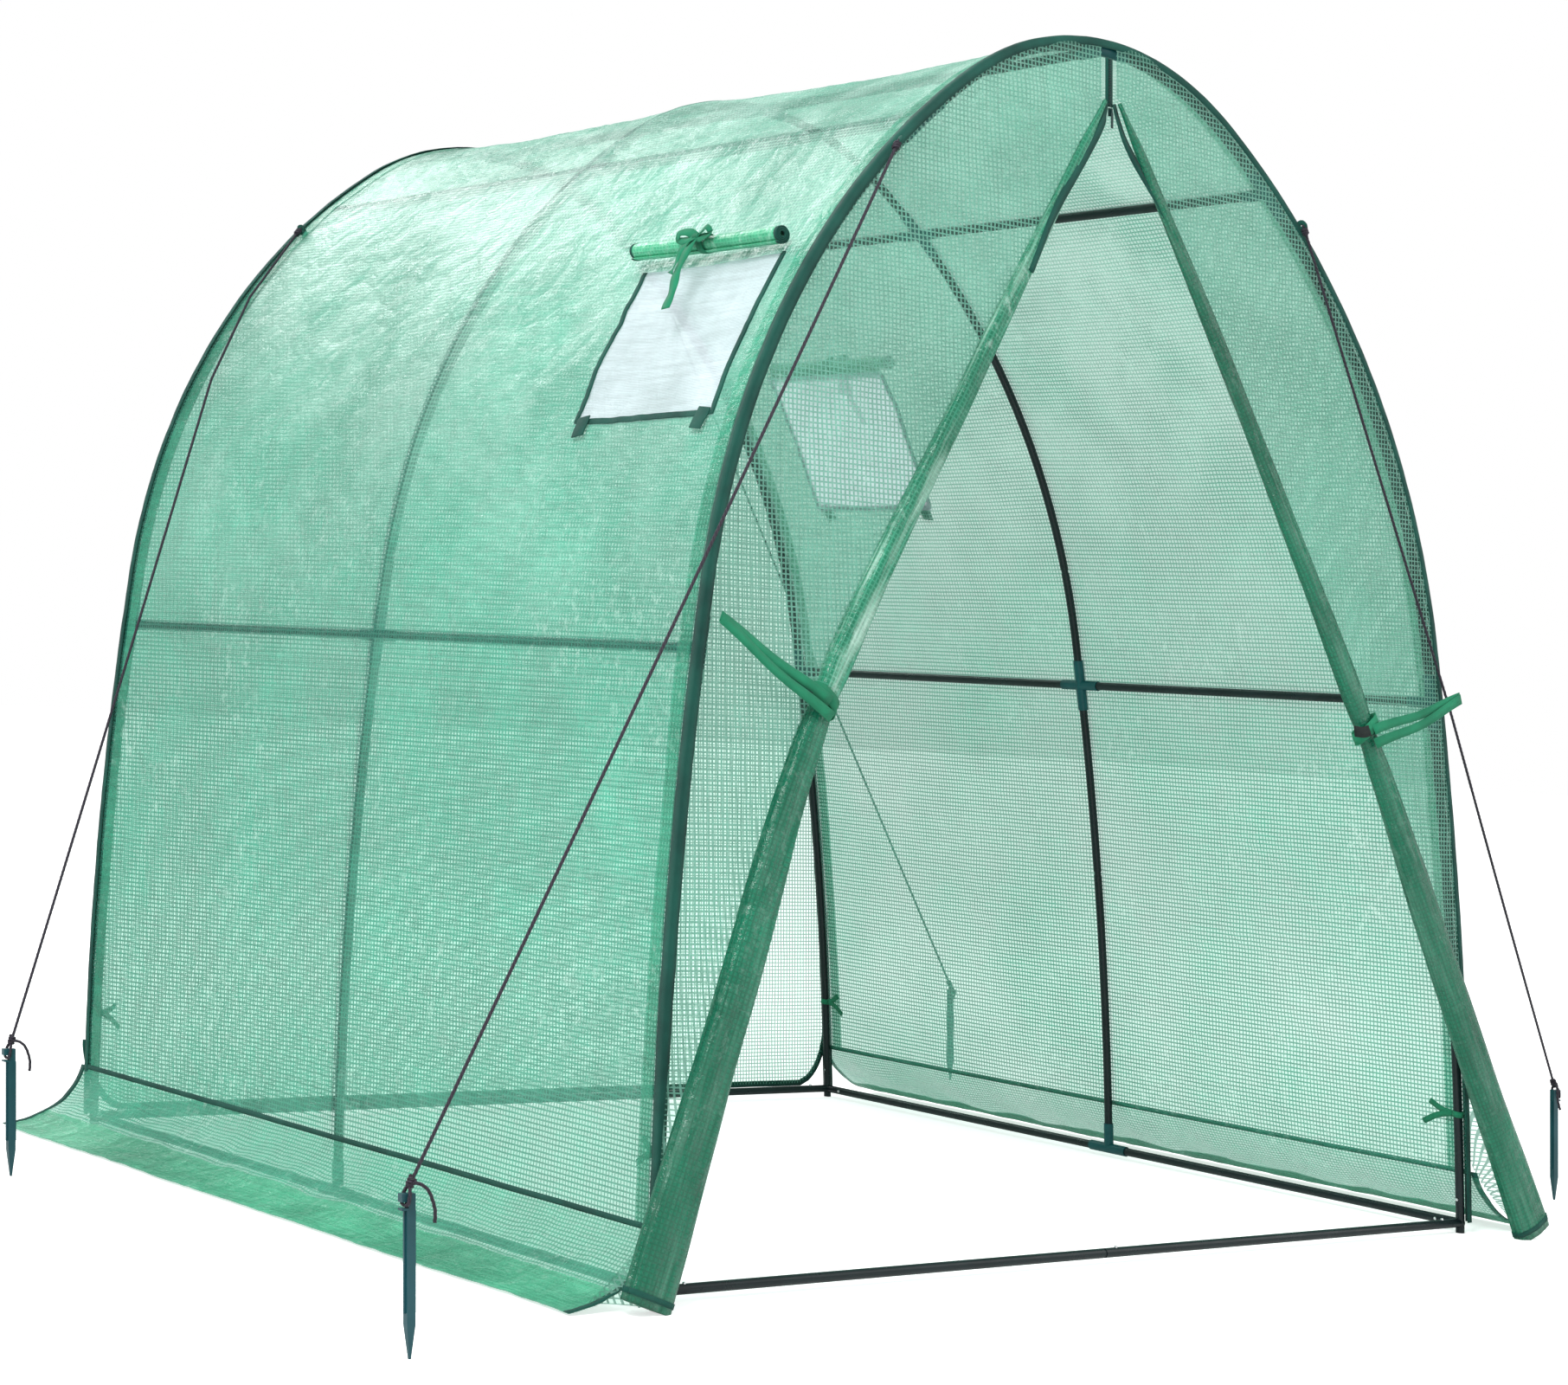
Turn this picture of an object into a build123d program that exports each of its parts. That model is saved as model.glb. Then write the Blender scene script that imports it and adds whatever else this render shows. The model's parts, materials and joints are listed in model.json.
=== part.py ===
from build123d import *
import math
import os

# A walk-in tunnel greenhouse: a knock-down steel tube frame under a woven, see-through cover.
# Millimetres. X runs across the width, Y from the door end to the back, Z up from the ground.
# The origin is the middle of the footprint at ground level; the door end faces -Y.

# ---- driving dimensions ----
WIDTH = 1800.0            # between the foot axes of one hoop
LENGTH = 1800.0           # between the planes of the front and back hoops
CROWN_Z = 1980.0          # tube axis at the top of a hoop
CROWN_RADIUS = 480.0      # three tangent arcs make half a hoop: crown, shoulder and leg
CROWN_ANGLE = 35.0        # where the crown arc meets the shoulder arc, from straight up
SHOULDER_RADIUS = 1285.0
SHOULDER_ANGLE = 80.5     # where the shoulder arc meets the leg arc

TUBE_R = 8.0
TUBE_WALL = 1.0
SPIGOT_R = 6.85           # reduced end that slides inside the next tube
SPIGOT_WALL = 1.0
SPIGOT_LENGTH = 45.0
COLLAR_LENGTH = 4.0       # full-size ring that a reduced end grows from
JOINT_GAP = 8.0           # bare reduced tube seen at a joint
LOW_JOINT_Z = 580.0
HIGH_JOINT_Z = 1185.0

RAIL_Z = 18.0             # axis of the base rails
MID_PURLIN_Z = 955.0
UPPER_PURLIN_ANGLE = 41.5
SLEEVE_R = 10.0           # plastic connectors
SLEEVE_BORE_R = 8.1
BRANCH_R = 9.6            # arm that branches off a sleeve, slightly slimmer
SLEEVE_ARM = 50.0
END_CLEARANCE = 2.0       # from a tube's end to the tube it meets

CORNER_ARM = 30.0         # full-size arm of a steel corner fitting
WELD_R = 9.0              # rounded weld where a corner's arms meet
UPRIGHT_BUTTON = 60.0     # spring buttons, from the corner along each arm
RAIL_BUTTON = 50.0
BUTTON_R = 2.8
BUTTON_HOLE_R = 3.1
BUTTON_PROUD = 2.5
BUTTON_DEPTH = 5.0
BUTTON_TRAVEL_ROOM = 4.0

SKIN = 1.0                # thickness of every fabric stand-in
COVER_OFFSET = 12.0       # inner face of the cover, from the hoop axis
TRIM_OFFSET = COVER_OFFSET + SKIN + 0.5
TRIM_WIDTH = 20.0
HEM_Z = 110.0
HEM_HEIGHT = 12.0
SKIRT_REACH = 1090.0
SKIRT_OVERHANG = 25.0     # past the end hoops
END_PANEL_Y = LENGTH / 2 + COVER_OFFSET

WINDOW_LOW_ANGLE = 68.3   # bottom and top edges, as hoop angles on the shoulder arc
WINDOW_TOP_ANGLE = 55.4
WINDOW_WIDTH = 360.0
WINDOWS = {"left": (-1, -640.0), "right": (1, 540.0)}
WINDOW_TRIM = 12.0
WINDOW_ROLL_R = 14.5
WINDOW_ROLL_LENGTH = 385.0
WINDOW_TAIL = 130.0
TAB_SIZE = (32.0, 34.0)

ROLL_TOP = (28.0, 1895.0)
# side: (sign, tie X and Z, foot X and Y)
DOOR_ROLLS = {"left": (-1, 620.0, 890.0, 965.0, -957.0), "right": (1, 600.0, 900.0, 995.0, -985.0)}
ROLL_TOP_Y = -LENGTH / 2 - 30.0
ROLL_TIE_Y = ROLL_TOP_Y - 8.0
ROLL_SECTIONS = ((14.0, 10.0), (48.0, 30.0), (88.0, 40.0))   # width and thickness: top, tie, foot
ROLL_FOOT_Z = 6.0
STRAP_WIDTH = 22.0
STRAP_CLEARANCE = 4.0      # so that the strap swings down clear of the roll, which thickens below it
STRAP_START_Z = {"left": 1010.0, "right": 972.0}
ZIP_SPLIT_Z = 1872.0
ZIP_WIDTH = 16.0

STAKE_LENGTH = 216.0
STAKE_HEAD = 22.0
ROPE_R = 2.0
ROPE_CLEARANCE = 9.0      # between the bindings and a rope that bends over them
ROPE_ANGLE = 45.0         # hoop angle where the ropes are tied on
ROPE_BEND_ANGLE = 81.5    # where the front right rope turns round the edge of the hoop
ROPE_OVER_WALL = ((45.0, 15.0), (54.0, 51.0), (63.0, 94.0)) # hoop angles and distances in from the hoop, over the cover
# name: (X and Y of the stake, which end hoop it holds, how the rope leaves the hoop)
STAKES = {
    "front_left": (-1430.0, -1080.0, -1, "straight"),
    "front_right": (1430.0, -700.0, -1, "bent"),
    "rear_left": (-1300.0, 400.0, 1, "over wall"),
    "rear_right": (1430.0, 1080.0, 1, "straight"),
}

HOOP_Y = {"front": -LENGTH / 2, "middle": 0.0, "rear": LENGTH / 2}

# ---- the hoop's three arcs, worked out from the driving dimensions ----


def along(angle):
    """Unit vector in X and Z at a hoop angle: 0 is straight up, 90 straight out."""
    return math.sin(math.radians(angle)), math.cos(math.radians(angle))


def step(start, distance, angle):
    dx, dz = along(angle)
    return start[0] + distance * dx, start[1] + distance * dz


crown_centre = (0.0, CROWN_Z - CROWN_RADIUS)
shoulder_centre = step(crown_centre, CROWN_RADIUS - SHOULDER_RADIUS, CROWN_ANGLE)
leg_top = step(shoulder_centre, SHOULDER_RADIUS, SHOULDER_ANGLE)
leg_run = (WIDTH / 2 - leg_top[0], leg_top[1] - RAIL_Z)
leg_turn = 2 * (90.0 - SHOULDER_ANGLE - math.degrees(math.atan2(*leg_run)))
LEG_RADIUS = math.hypot(*leg_run) / 2 / math.sin(math.radians(leg_turn / 2))
leg_centre = step(leg_top, -LEG_RADIUS, SHOULDER_ANGLE)
FOOT_ANGLE = SHOULDER_ANGLE + leg_turn

ARCS = (
    (crown_centre, CROWN_RADIUS, -CROWN_ANGLE, CROWN_ANGLE),
    (shoulder_centre, SHOULDER_RADIUS, CROWN_ANGLE, SHOULDER_ANGLE),
    (leg_centre, LEG_RADIUS, SHOULDER_ANGLE, FOOT_ANGLE),
)


def arc_at(angle):
    for centre, radius, start, end in ARCS:
        if angle <= end:
            return centre, radius
    return leg_centre, LEG_RADIUS


def hoop_point(angle, offset=0.0):
    centre, radius = arc_at(angle)
    return step(centre, radius + offset, angle)


def angle_at_height(z):
    """The hoop angle whose tube axis is at height z, below the crown arc."""
    if z > leg_top[1]:
        return math.degrees(math.acos((z - shoulder_centre[1]) / SHOULDER_RADIUS))
    return math.degrees(math.acos((z - leg_centre[1]) / LEG_RADIUS))


def turn_for(distance, angle):
    """Degrees of hoop angle that cover a distance along the tube near an angle."""
    return math.degrees(distance / arc_at(angle)[1])


def hoop_edges(start, end, offset=0.0):
    """The hoop line between two angles as arcs in the XZ plane, from start to end."""
    edges = []
    for centre, radius, low, high in ARCS:
        a, b = max(start, low), min(end, high)
        if b > a:
            edges.append(CenterArc(centre, radius + offset, 90.0 - a, a - b))
    return edges


XZ = Plane(origin=(0, 0, 0), x_dir=(1, 0, 0), z_dir=(0, -1, 0))


def hoop_bar(radius, start, end):
    """A round bar that follows the right half of a hoop standing at Y = 0."""
    path = Wire([XZ * edge for edge in hoop_edges(start, end)])
    x, z = hoop_point(start)
    dx, dz = along(start + 90.0)
    return sweep(Plane(origin=(x, 0, z), z_dir=(dx, 0, dz)) * Circle(radius), path=path)


def hoop_pipe(outer, inner, start, end):
    return hoop_bar(outer, start, end) - hoop_bar(inner, start, end)


def bar(radius, start, end):
    """A straight round bar between two points."""
    line = Vector(*end) - Vector(*start)
    return Plane(origin=start, z_dir=line) * Pos(0, 0, line.length / 2) * Cylinder(radius, line.length)


def pipe(outer, inner, start, end):
    return bar(outer, start, end) - bar(inner, start, end)


def tube(start, end):
    return pipe(TUBE_R, TUBE_R - TUBE_WALL, start, end)


def band(inner, outer, start, end, y_low, y_high):
    """A thin curved sheet over the right half of the hoop line, between two hoop angles."""
    inside = hoop_edges(start, end, inner)
    outside = hoop_edges(start, end, outer)
    first = Line(hoop_point(start, inner), hoop_point(start, outer))
    last = Line(hoop_point(end, inner), hoop_point(end, outer))
    face = make_face([XZ * edge for edge in inside + outside + [first, last]])
    return Pos(0, y_low, 0) * extrude(face, amount=y_high - y_low, dir=(0, 1, 0))


def both_sides(shape):
    return [shape, mirror(shape, about=Plane.YZ)]


def on_side(shape, side):
    return shape if side > 0 else mirror(shape, about=Plane.YZ)


def slab(face_points, y, thickness):
    """A flat sheet standing across the tunnel, from XZ points."""
    face = make_face([XZ * edge for edge in Polyline(*face_points, close=True).edges()])
    return Pos(0, y, 0) * extrude(face, amount=thickness, dir=(0, 1, 0))


NODES = {}


def add(name, *solids):
    NODES[name] = Compound(children=list(solids)) if len(solids) > 1 else solids[0]


# ---- hoops: per side a leg tube, a side tube and a top arc, each joined by a reduced end ----

corner_end = angle_at_height(RAIL_Z + CORNER_ARM + 0.5)
tee_end = angle_at_height(RAIL_Z + TUBE_R + END_CLEARANCE)
crown_end = turn_for(END_CLEARANCE / 2, 0.0)


def reduced_end(start):
    """Collar and spigot at the top of a tube that ends at hoop angle start."""
    collar_turn = turn_for(COLLAR_LENGTH, start)
    spigot_turn = turn_for(SPIGOT_LENGTH, start)
    spigot_bore = SPIGOT_R - SPIGOT_WALL
    collar = hoop_pipe(TUBE_R, spigot_bore, start, start + collar_turn)
    return collar + hoop_pipe(SPIGOT_R, spigot_bore, start - spigot_turn, start + collar_turn)


def hoop_tube(low, high, reduced):
    """A hoop tube between two angles; a reduced top shows a short gap below the next tube."""
    bore = TUBE_R - TUBE_WALL
    if not reduced:
        return hoop_pipe(TUBE_R, bore, high, low)
    top = high + turn_for(JOINT_GAP, high)
    return hoop_pipe(TUBE_R, bore, top + turn_for(COLLAR_LENGTH, top), low) + reduced_end(top)


low_joint = angle_at_height(LOW_JOINT_Z)
high_joint = angle_at_height(HIGH_JOINT_Z)
corner_leg = hoop_tube(corner_end, low_joint, True)
tee_leg = hoop_tube(tee_end, low_joint, True)
side_tube = hoop_tube(low_joint, high_joint, True)
top_arc = hoop_tube(high_joint, crown_end, False)

button_hole = bar(BUTTON_HOLE_R, (0, 0, UPRIGHT_BUTTON), (-2 * TUBE_R, 0, UPRIGHT_BUTTON))
foot_x = hoop_point(FOOT_ANGLE)[0]
corner_leg -= Pos(foot_x, 0, 0) * button_hole

for hoop, y in HOOP_Y.items():
    leg = tee_leg if hoop == "middle" else corner_leg
    for part, shape in (("legs", leg), ("side_tubes", side_tube), ("top_arcs", top_arc)):
        add(f"{hoop}_hoop_{part}", *both_sides(Pos(0, y, 0) * shape))

# ---- purlins along the tunnel ----

mid_angle = angle_at_height(MID_PURLIN_Z)
purlin_gap = TUBE_R + END_CLEARANCE
bays = ((-LENGTH / 2 + purlin_gap, -purlin_gap), (purlin_gap, LENGTH / 2 - purlin_gap))


def purlin(angle, bay):
    x, z = hoop_point(angle)
    return tube((x, bay[0], z), (x, bay[1], z))


for name, angle in (("mid", mid_angle), ("upper", UPPER_PURLIN_ANGLE)):
    add(f"{name}_purlins", *[solid for bay in bays for solid in both_sides(purlin(angle, bay))])
add("ridge_purlins", *[purlin(0.0, bay) for bay in bays])

# ---- base rails ----

rail_end = CORNER_ARM + 0.5
side_x = WIDTH / 2


def side_rail(front):
    """Right side rail of one bay, with its spring-button hole facing inwards."""
    sign = -1 if front else 1
    outer_y = sign * (LENGTH / 2 - rail_end)
    inner_y = sign * END_CLEARANCE
    rail = tube((side_x, outer_y, RAIL_Z), (side_x, inner_y, RAIL_Z))
    hole_y = sign * (LENGTH / 2 - RAIL_BUTTON)
    return rail - bar(BUTTON_HOLE_R, (side_x, hole_y, RAIL_Z), (side_x - 2 * TUBE_R, hole_y, RAIL_Z))


add("side_rails", *[solid for front in (True, False) for solid in both_sides(side_rail(front))])

end_buttons = (-(side_x - RAIL_BUTTON), SPIGOT_LENGTH / 2 + JOINT_GAP, side_x - RAIL_BUTTON)


def end_rail(y):
    """Base rail under an end hoop, in two tubes joined at the middle by a reduced end."""
    spigot_bore = SPIGOT_R - SPIGOT_WALL
    left = tube((-side_x + rail_end, y, RAIL_Z), (-COLLAR_LENGTH, y, RAIL_Z))
    left += pipe(TUBE_R, spigot_bore, (-COLLAR_LENGTH, y, RAIL_Z), (0, y, RAIL_Z))
    left += pipe(SPIGOT_R, spigot_bore, (-COLLAR_LENGTH, y, RAIL_Z), (SPIGOT_LENGTH, y, RAIL_Z))
    right = tube((JOINT_GAP / 2, y, RAIL_Z), (side_x - rail_end, y, RAIL_Z))
    for x in end_buttons:
        hole = bar(BUTTON_HOLE_R, (x, y, RAIL_Z), (x, y, RAIL_Z + 2 * TUBE_R))
        left -= hole
        right -= hole
    return left, right


for end, y in (("front", HOOP_Y["front"]), ("rear", HOOP_Y["rear"])):
    add(f"{end}_rail", *end_rail(y))

# ---- steel corner fittings: three welded arms with spigots that slide into the tubes ----


def corner_fitting(y_sign):
    """Right-hand corner; its arms run up, inwards across the end, and along the side."""
    x, y = side_x, y_sign * LENGTH / 2
    across = (x - CORNER_ARM, y, RAIL_Z)
    beside = (x, y - y_sign * CORNER_ARM, RAIL_Z)
    up = (x, y, RAIL_Z + CORNER_ARM)
    spigot = CORNER_ARM + SPIGOT_LENGTH
    bore = SPIGOT_R - SPIGOT_WALL
    upright = (angle_at_height(RAIL_Z + spigot), angle_at_height(RAIL_Z + CORNER_ARM - COLLAR_LENGTH))
    level_ends = ((across, (x - spigot, y, RAIL_Z)), (beside, (x, y - y_sign * spigot, RAIL_Z)))
    body = bar(TUBE_R, (x, y, 0), up) + Pos(0, y, 0) * hoop_bar(SPIGOT_R, *upright)
    for start, end in level_ends:
        body += bar(TUBE_R, (x, y, RAIL_Z), start) + bar(SPIGOT_R, start, end)
    body += Pos(x, y, RAIL_Z) * Sphere(WELD_R)
    body -= Pos(0, y, 0) * hoop_bar(bore, *upright)
    for start, end in level_ends:
        body -= bar(bore, start, end)
    body -= bar(BUTTON_HOLE_R, (x, y, UPRIGHT_BUTTON), (x - 2 * TUBE_R, y, UPRIGHT_BUTTON))
    hole_y = y - y_sign * RAIL_BUTTON
    body -= bar(BUTTON_HOLE_R, (x, hole_y, RAIL_Z), (x - 2 * TUBE_R, hole_y, RAIL_Z))
    hole_x = x - RAIL_BUTTON
    body -= bar(BUTTON_HOLE_R, (hole_x, y, RAIL_Z), (hole_x, y, RAIL_Z + 2 * TUBE_R))
    return body


for end, y_sign in (("front", -1), ("rear", 1)):
    for side_name, side in (("left", -1), ("right", 1)):
        add(f"corner_{end}_{side_name}", on_side(corner_fitting(y_sign), side))

# ---- spring buttons: a pin with a rounded head, pressed in to free a tube ----


def button(position, direction):
    """A button whose head stands proud of a tube whose axis passes through position."""
    axis = Vector(*direction)
    start = Vector(*position) + axis * (TUBE_R - BUTTON_DEPTH)
    tip = Vector(*position) + axis * (TUBE_R + BUTTON_PROUD - BUTTON_R / 2)
    pin = bar(BUTTON_R, tuple(start), tuple(tip))
    return pin + Pos(*tip) * Sphere(BUTTON_R) & bar(BUTTON_R, tuple(start), tuple(tip + axis * BUTTON_R / 2))


for side_name, side in (("left", -1), ("right", 1)):
    inward = (-side, 0, 0)
    buttons = []
    for y_sign in (-1, 1):
        buttons.append(button((side * foot_x, y_sign * LENGTH / 2, UPRIGHT_BUTTON), inward))
        buttons.append(button((side * side_x, y_sign * (LENGTH / 2 - RAIL_BUTTON), RAIL_Z), inward))
    add(f"spring_buttons_{side_name}", *buttons)
add(
    "spring_buttons_ends",
    *[button((x, y, RAIL_Z), (0, 0, 1)) for y in (HOOP_Y["front"], HOOP_Y["rear"]) for x in end_buttons],
)

# ---- plastic connectors ----


def sleeve_on_hoop(angle, arms):
    """A sleeve along the hoop with one or two arms along the tunnel, at a hoop at Y = 0."""
    turn = turn_for(SLEEVE_ARM, angle)
    x, z = hoop_point(angle)
    solid = hoop_bar(SLEEVE_R, angle - turn, angle + turn)
    hole = hoop_bar(SLEEVE_BORE_R, angle - turn, angle + turn)
    for sign in arms:
        solid += bar(BRANCH_R, (x, 0, z), (x, sign * SLEEVE_ARM, z))
    solid -= hole
    for sign in arms:
        solid -= bar(SLEEVE_BORE_R, (x, sign * (SLEEVE_BORE_R - 1), z), (x, sign * SLEEVE_ARM, z))
    return solid


for hoop, arms in (("front", (1,)), ("middle", (-1, 1)), ("rear", (-1,))):
    sleeves = [sleeve_on_hoop(0.0, arms)]
    for angle in (UPPER_PURLIN_ANGLE, mid_angle):
        sleeves += both_sides(sleeve_on_hoop(angle, arms))
    add(f"{hoop}_connectors", *[Pos(0, HOOP_Y[hoop], 0) * sleeve for sleeve in sleeves])

leg_sleeve_top = RAIL_Z + SLEEVE_ARM
base_tee = bar(SLEEVE_R, (side_x, -SLEEVE_ARM, RAIL_Z), (side_x, SLEEVE_ARM, RAIL_Z))
base_tee += hoop_bar(BRANCH_R, angle_at_height(leg_sleeve_top), angle_at_height(RAIL_Z + 1))
base_tee -= bar(SLEEVE_BORE_R, (side_x, -SLEEVE_ARM, RAIL_Z), (side_x, SLEEVE_ARM, RAIL_Z))
bore_start = angle_at_height(RAIL_Z + SLEEVE_BORE_R - 1)
base_tee -= hoop_bar(SLEEVE_BORE_R, angle_at_height(leg_sleeve_top), bore_start)
add("base_tees", *both_sides(base_tee))

# ---- the cover: one curved sheet with a window opening in each wall ----

cover_end = LENGTH / 2 + COVER_OFFSET - 1.0
hem_angle = angle_at_height(HEM_Z)
half_cover = band(COVER_OFFSET, COVER_OFFSET + SKIN, 0.0, hem_angle, -cover_end, cover_end)
cover = half_cover + mirror(half_cover, about=Plane.YZ)
for side, middle in WINDOWS.values():
    low, high = middle - WINDOW_WIDTH / 2, middle + WINDOW_WIDTH / 2
    opening = band(COVER_OFFSET - 1, COVER_OFFSET + SKIN + 1, WINDOW_TOP_ANGLE, WINDOW_LOW_ANGLE, low, high)
    cover -= on_side(opening, side)
add("cover", cover)

hem_turn = turn_for(HEM_HEIGHT, hem_angle)
hem = band(TRIM_OFFSET, TRIM_OFFSET + SKIN, hem_angle - hem_turn, hem_angle, -cover_end, cover_end)
skirt_top = hoop_point(hem_angle, TRIM_OFFSET + SKIN + 0.5)
skirt = slab(
    (
        skirt_top,
        (skirt_top[0] + SKIN, skirt_top[1]),
        (SKIRT_REACH - 60.0, 8.0),
        (SKIRT_REACH, 1.5),
        (SKIRT_REACH, 0.5),
        (SKIRT_REACH - 62.0, 7.0),
    ),
    -LENGTH / 2 - SKIRT_OVERHANG,
    LENGTH + 2 * SKIRT_OVERHANG,
)
add("side_hems", *both_sides(hem))
for side_name, side in (("left", -1), ("right", 1)):
    add(f"ground_skirt_{side_name}", on_side(skirt, side))

for end, sign in (("front", -1), ("rear", 1)):
    y_low, y_high = sorted((sign * (END_PANEL_Y + 1.0), sign * (END_PANEL_Y + 1.0 - TRIM_WIDTH)))
    half = band(TRIM_OFFSET, TRIM_OFFSET + SKIN, 0.0, hem_angle - 2 * hem_turn, y_low, y_high)
    add(f"{end}_arch_binding", half + mirror(half, about=Plane.YZ))

# ---- end panels ----

panel_offset = COVER_OFFSET + SKIN
panel_foot = angle_at_height(40.0)
right_edge = hoop_edges(0.0, panel_foot, panel_offset)
foot = hoop_point(panel_foot, panel_offset)
closing = [Line(foot, (0, foot[1])), Line((0, foot[1]), hoop_point(0.0, panel_offset))]
half_panel = extrude(make_face([XZ * edge for edge in right_edge + closing]), amount=SKIN, dir=(0, 1, 0))
corner_cut = slab(((foot[0] + 1, foot[1] - 1), (foot[0] - 70.0, foot[1] - 1), (foot[0] + 1, foot[1] + 110.0)), -1, 3)
half_panel -= corner_cut
add("rear_panel", Pos(0, END_PANEL_Y, 0) * (half_panel + mirror(half_panel, about=Plane.YZ)))

for side_name, (side, tie_x, tie_z, roll_foot_x, roll_foot_y) in DOOR_ROLLS.items():
    inner_edge = ((10.0, CROWN_Z + 60.0), (10.0, CROWN_Z - 60.0), (tie_x, tie_z), (roll_foot_x, ROLL_FOOT_Z))
    keep = slab(inner_edge + ((WIDTH, ROLL_FOOT_Z), (WIDTH, CROWN_Z + 60.0)), -1, 3)
    trimmed = half_panel & keep & (Pos(0, 0, CROWN_Z / 2 + 200.0) * Box(3 * WIDTH, 10, CROWN_Z))
    add(f"front_panel_{side_name}", on_side(Pos(0, -END_PANEL_Y - SKIN, 0) * trimmed, side))

# ---- zip: closed at the top, a slider, and a tape on each rolled flap ----

zip_y = -END_PANEL_Y - SKIN - 2.0
zip_closed_top = CROWN_Z - 15.0
zip_closed_length = zip_closed_top - ZIP_SPLIT_Z - 14.0
zip_middle = zip_closed_top - zip_closed_length / 2
add("zip_closed_tape", Pos(0, zip_y, zip_middle) * Box(ZIP_WIDTH, 1.5, zip_closed_length))
slider = Pos(0, zip_y - 3, ZIP_SPLIT_Z + 5) * Box(9, 5, 14)
slider += Pos(0, zip_y - 6.5, ZIP_SPLIT_Z - 9) * Box(5, 1.5, 28)
slider += Pos(0, zip_y - 5.5, ZIP_SPLIT_Z + 3) * Box(4, 3, 4)
add("zip_slider", slider)

# ---- rolled door flaps: a flattened roll from the apex past the tie to the ground ----


def roll_section(position, size, tilt):
    """An ellipse across a roll whose line leans outwards by tilt degrees."""
    dx, dz = math.sin(math.radians(tilt)), -math.cos(math.radians(tilt))
    plane = Plane(origin=position, x_dir=(-dz, 0, dx), z_dir=(dx, 0, dz))
    return plane * Ellipse(size[0] / 2, size[1] / 2)


for side_name, (side, tie_x, tie_z, roll_foot_x, roll_foot_y) in DOOR_ROLLS.items():
    upper_tilt = math.degrees(math.atan2(tie_x - ROLL_TOP[0], ROLL_TOP[1] - tie_z))
    lower_tilt = math.degrees(math.atan2(roll_foot_x - tie_x, tie_z - ROLL_FOOT_Z))
    foot_size = ROLL_SECTIONS[2]
    foot_z = ROLL_FOOT_Z + foot_size[0] / 2 * math.sin(math.radians(lower_tilt))
    sections = (
        roll_section((ROLL_TOP[0], ROLL_TOP_Y, ROLL_TOP[1]), ROLL_SECTIONS[0], upper_tilt),
        roll_section((tie_x, ROLL_TIE_Y, tie_z), ROLL_SECTIONS[1], (upper_tilt + lower_tilt) / 2),
        roll_section((roll_foot_x, roll_foot_y, foot_z), foot_size, lower_tilt),
    )
    roll = loft([section.face() for section in sections], ruled=True)
    add(f"door_roll_{side_name}", on_side(roll, side))

    tape_end = 260.0
    tape_start = (ROLL_TOP[0] - 10.0, ROLL_TOP[1] - 4.0)
    tape_dx, tape_dz = math.sin(math.radians(upper_tilt)), -math.cos(math.radians(upper_tilt))
    tape_low = (tape_start[0] + tape_end * tape_dx - 12.0, tape_start[1] + tape_end * tape_dz)
    tape = slab(
        (tape_start, (tape_start[0] - 6.0, tape_start[1]), (tape_low[0] - 8.0, tape_low[1]), tape_low),
        ROLL_TOP_Y - 1.0,
        1.5,
    )
    add(f"zip_tape_{side_name}", on_side(tape, side))

    # the strap runs from the roll's front out to the hoop
    start = Vector(tie_x, ROLL_TIE_Y - ROLL_SECTIONS[1][1] / 2 - STRAP_CLEARANCE, tie_z)
    hoop_z = STRAP_START_Z[side_name]
    run = Vector(hoop_point(angle_at_height(hoop_z), COVER_OFFSET)[0], start.Y, hoop_z) - start
    strap_plane = Plane(origin=start, x_dir=run, z_dir=(0, -1, 0))
    strap = strap_plane * Pos(run.length / 2, 0, 0) * Box(run.length, STRAP_WIDTH, SKIN)
    add(f"door_strap_{side_name}", on_side(strap, side))

# ---- windows: a screen, a bound edge, two tabs, and a flap rolled up above ----


def window_sheet(inner, outer, top, low, y_low, y_high):
    return band(COVER_OFFSET + inner, COVER_OFFSET + outer, top, low, y_low, y_high)


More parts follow.
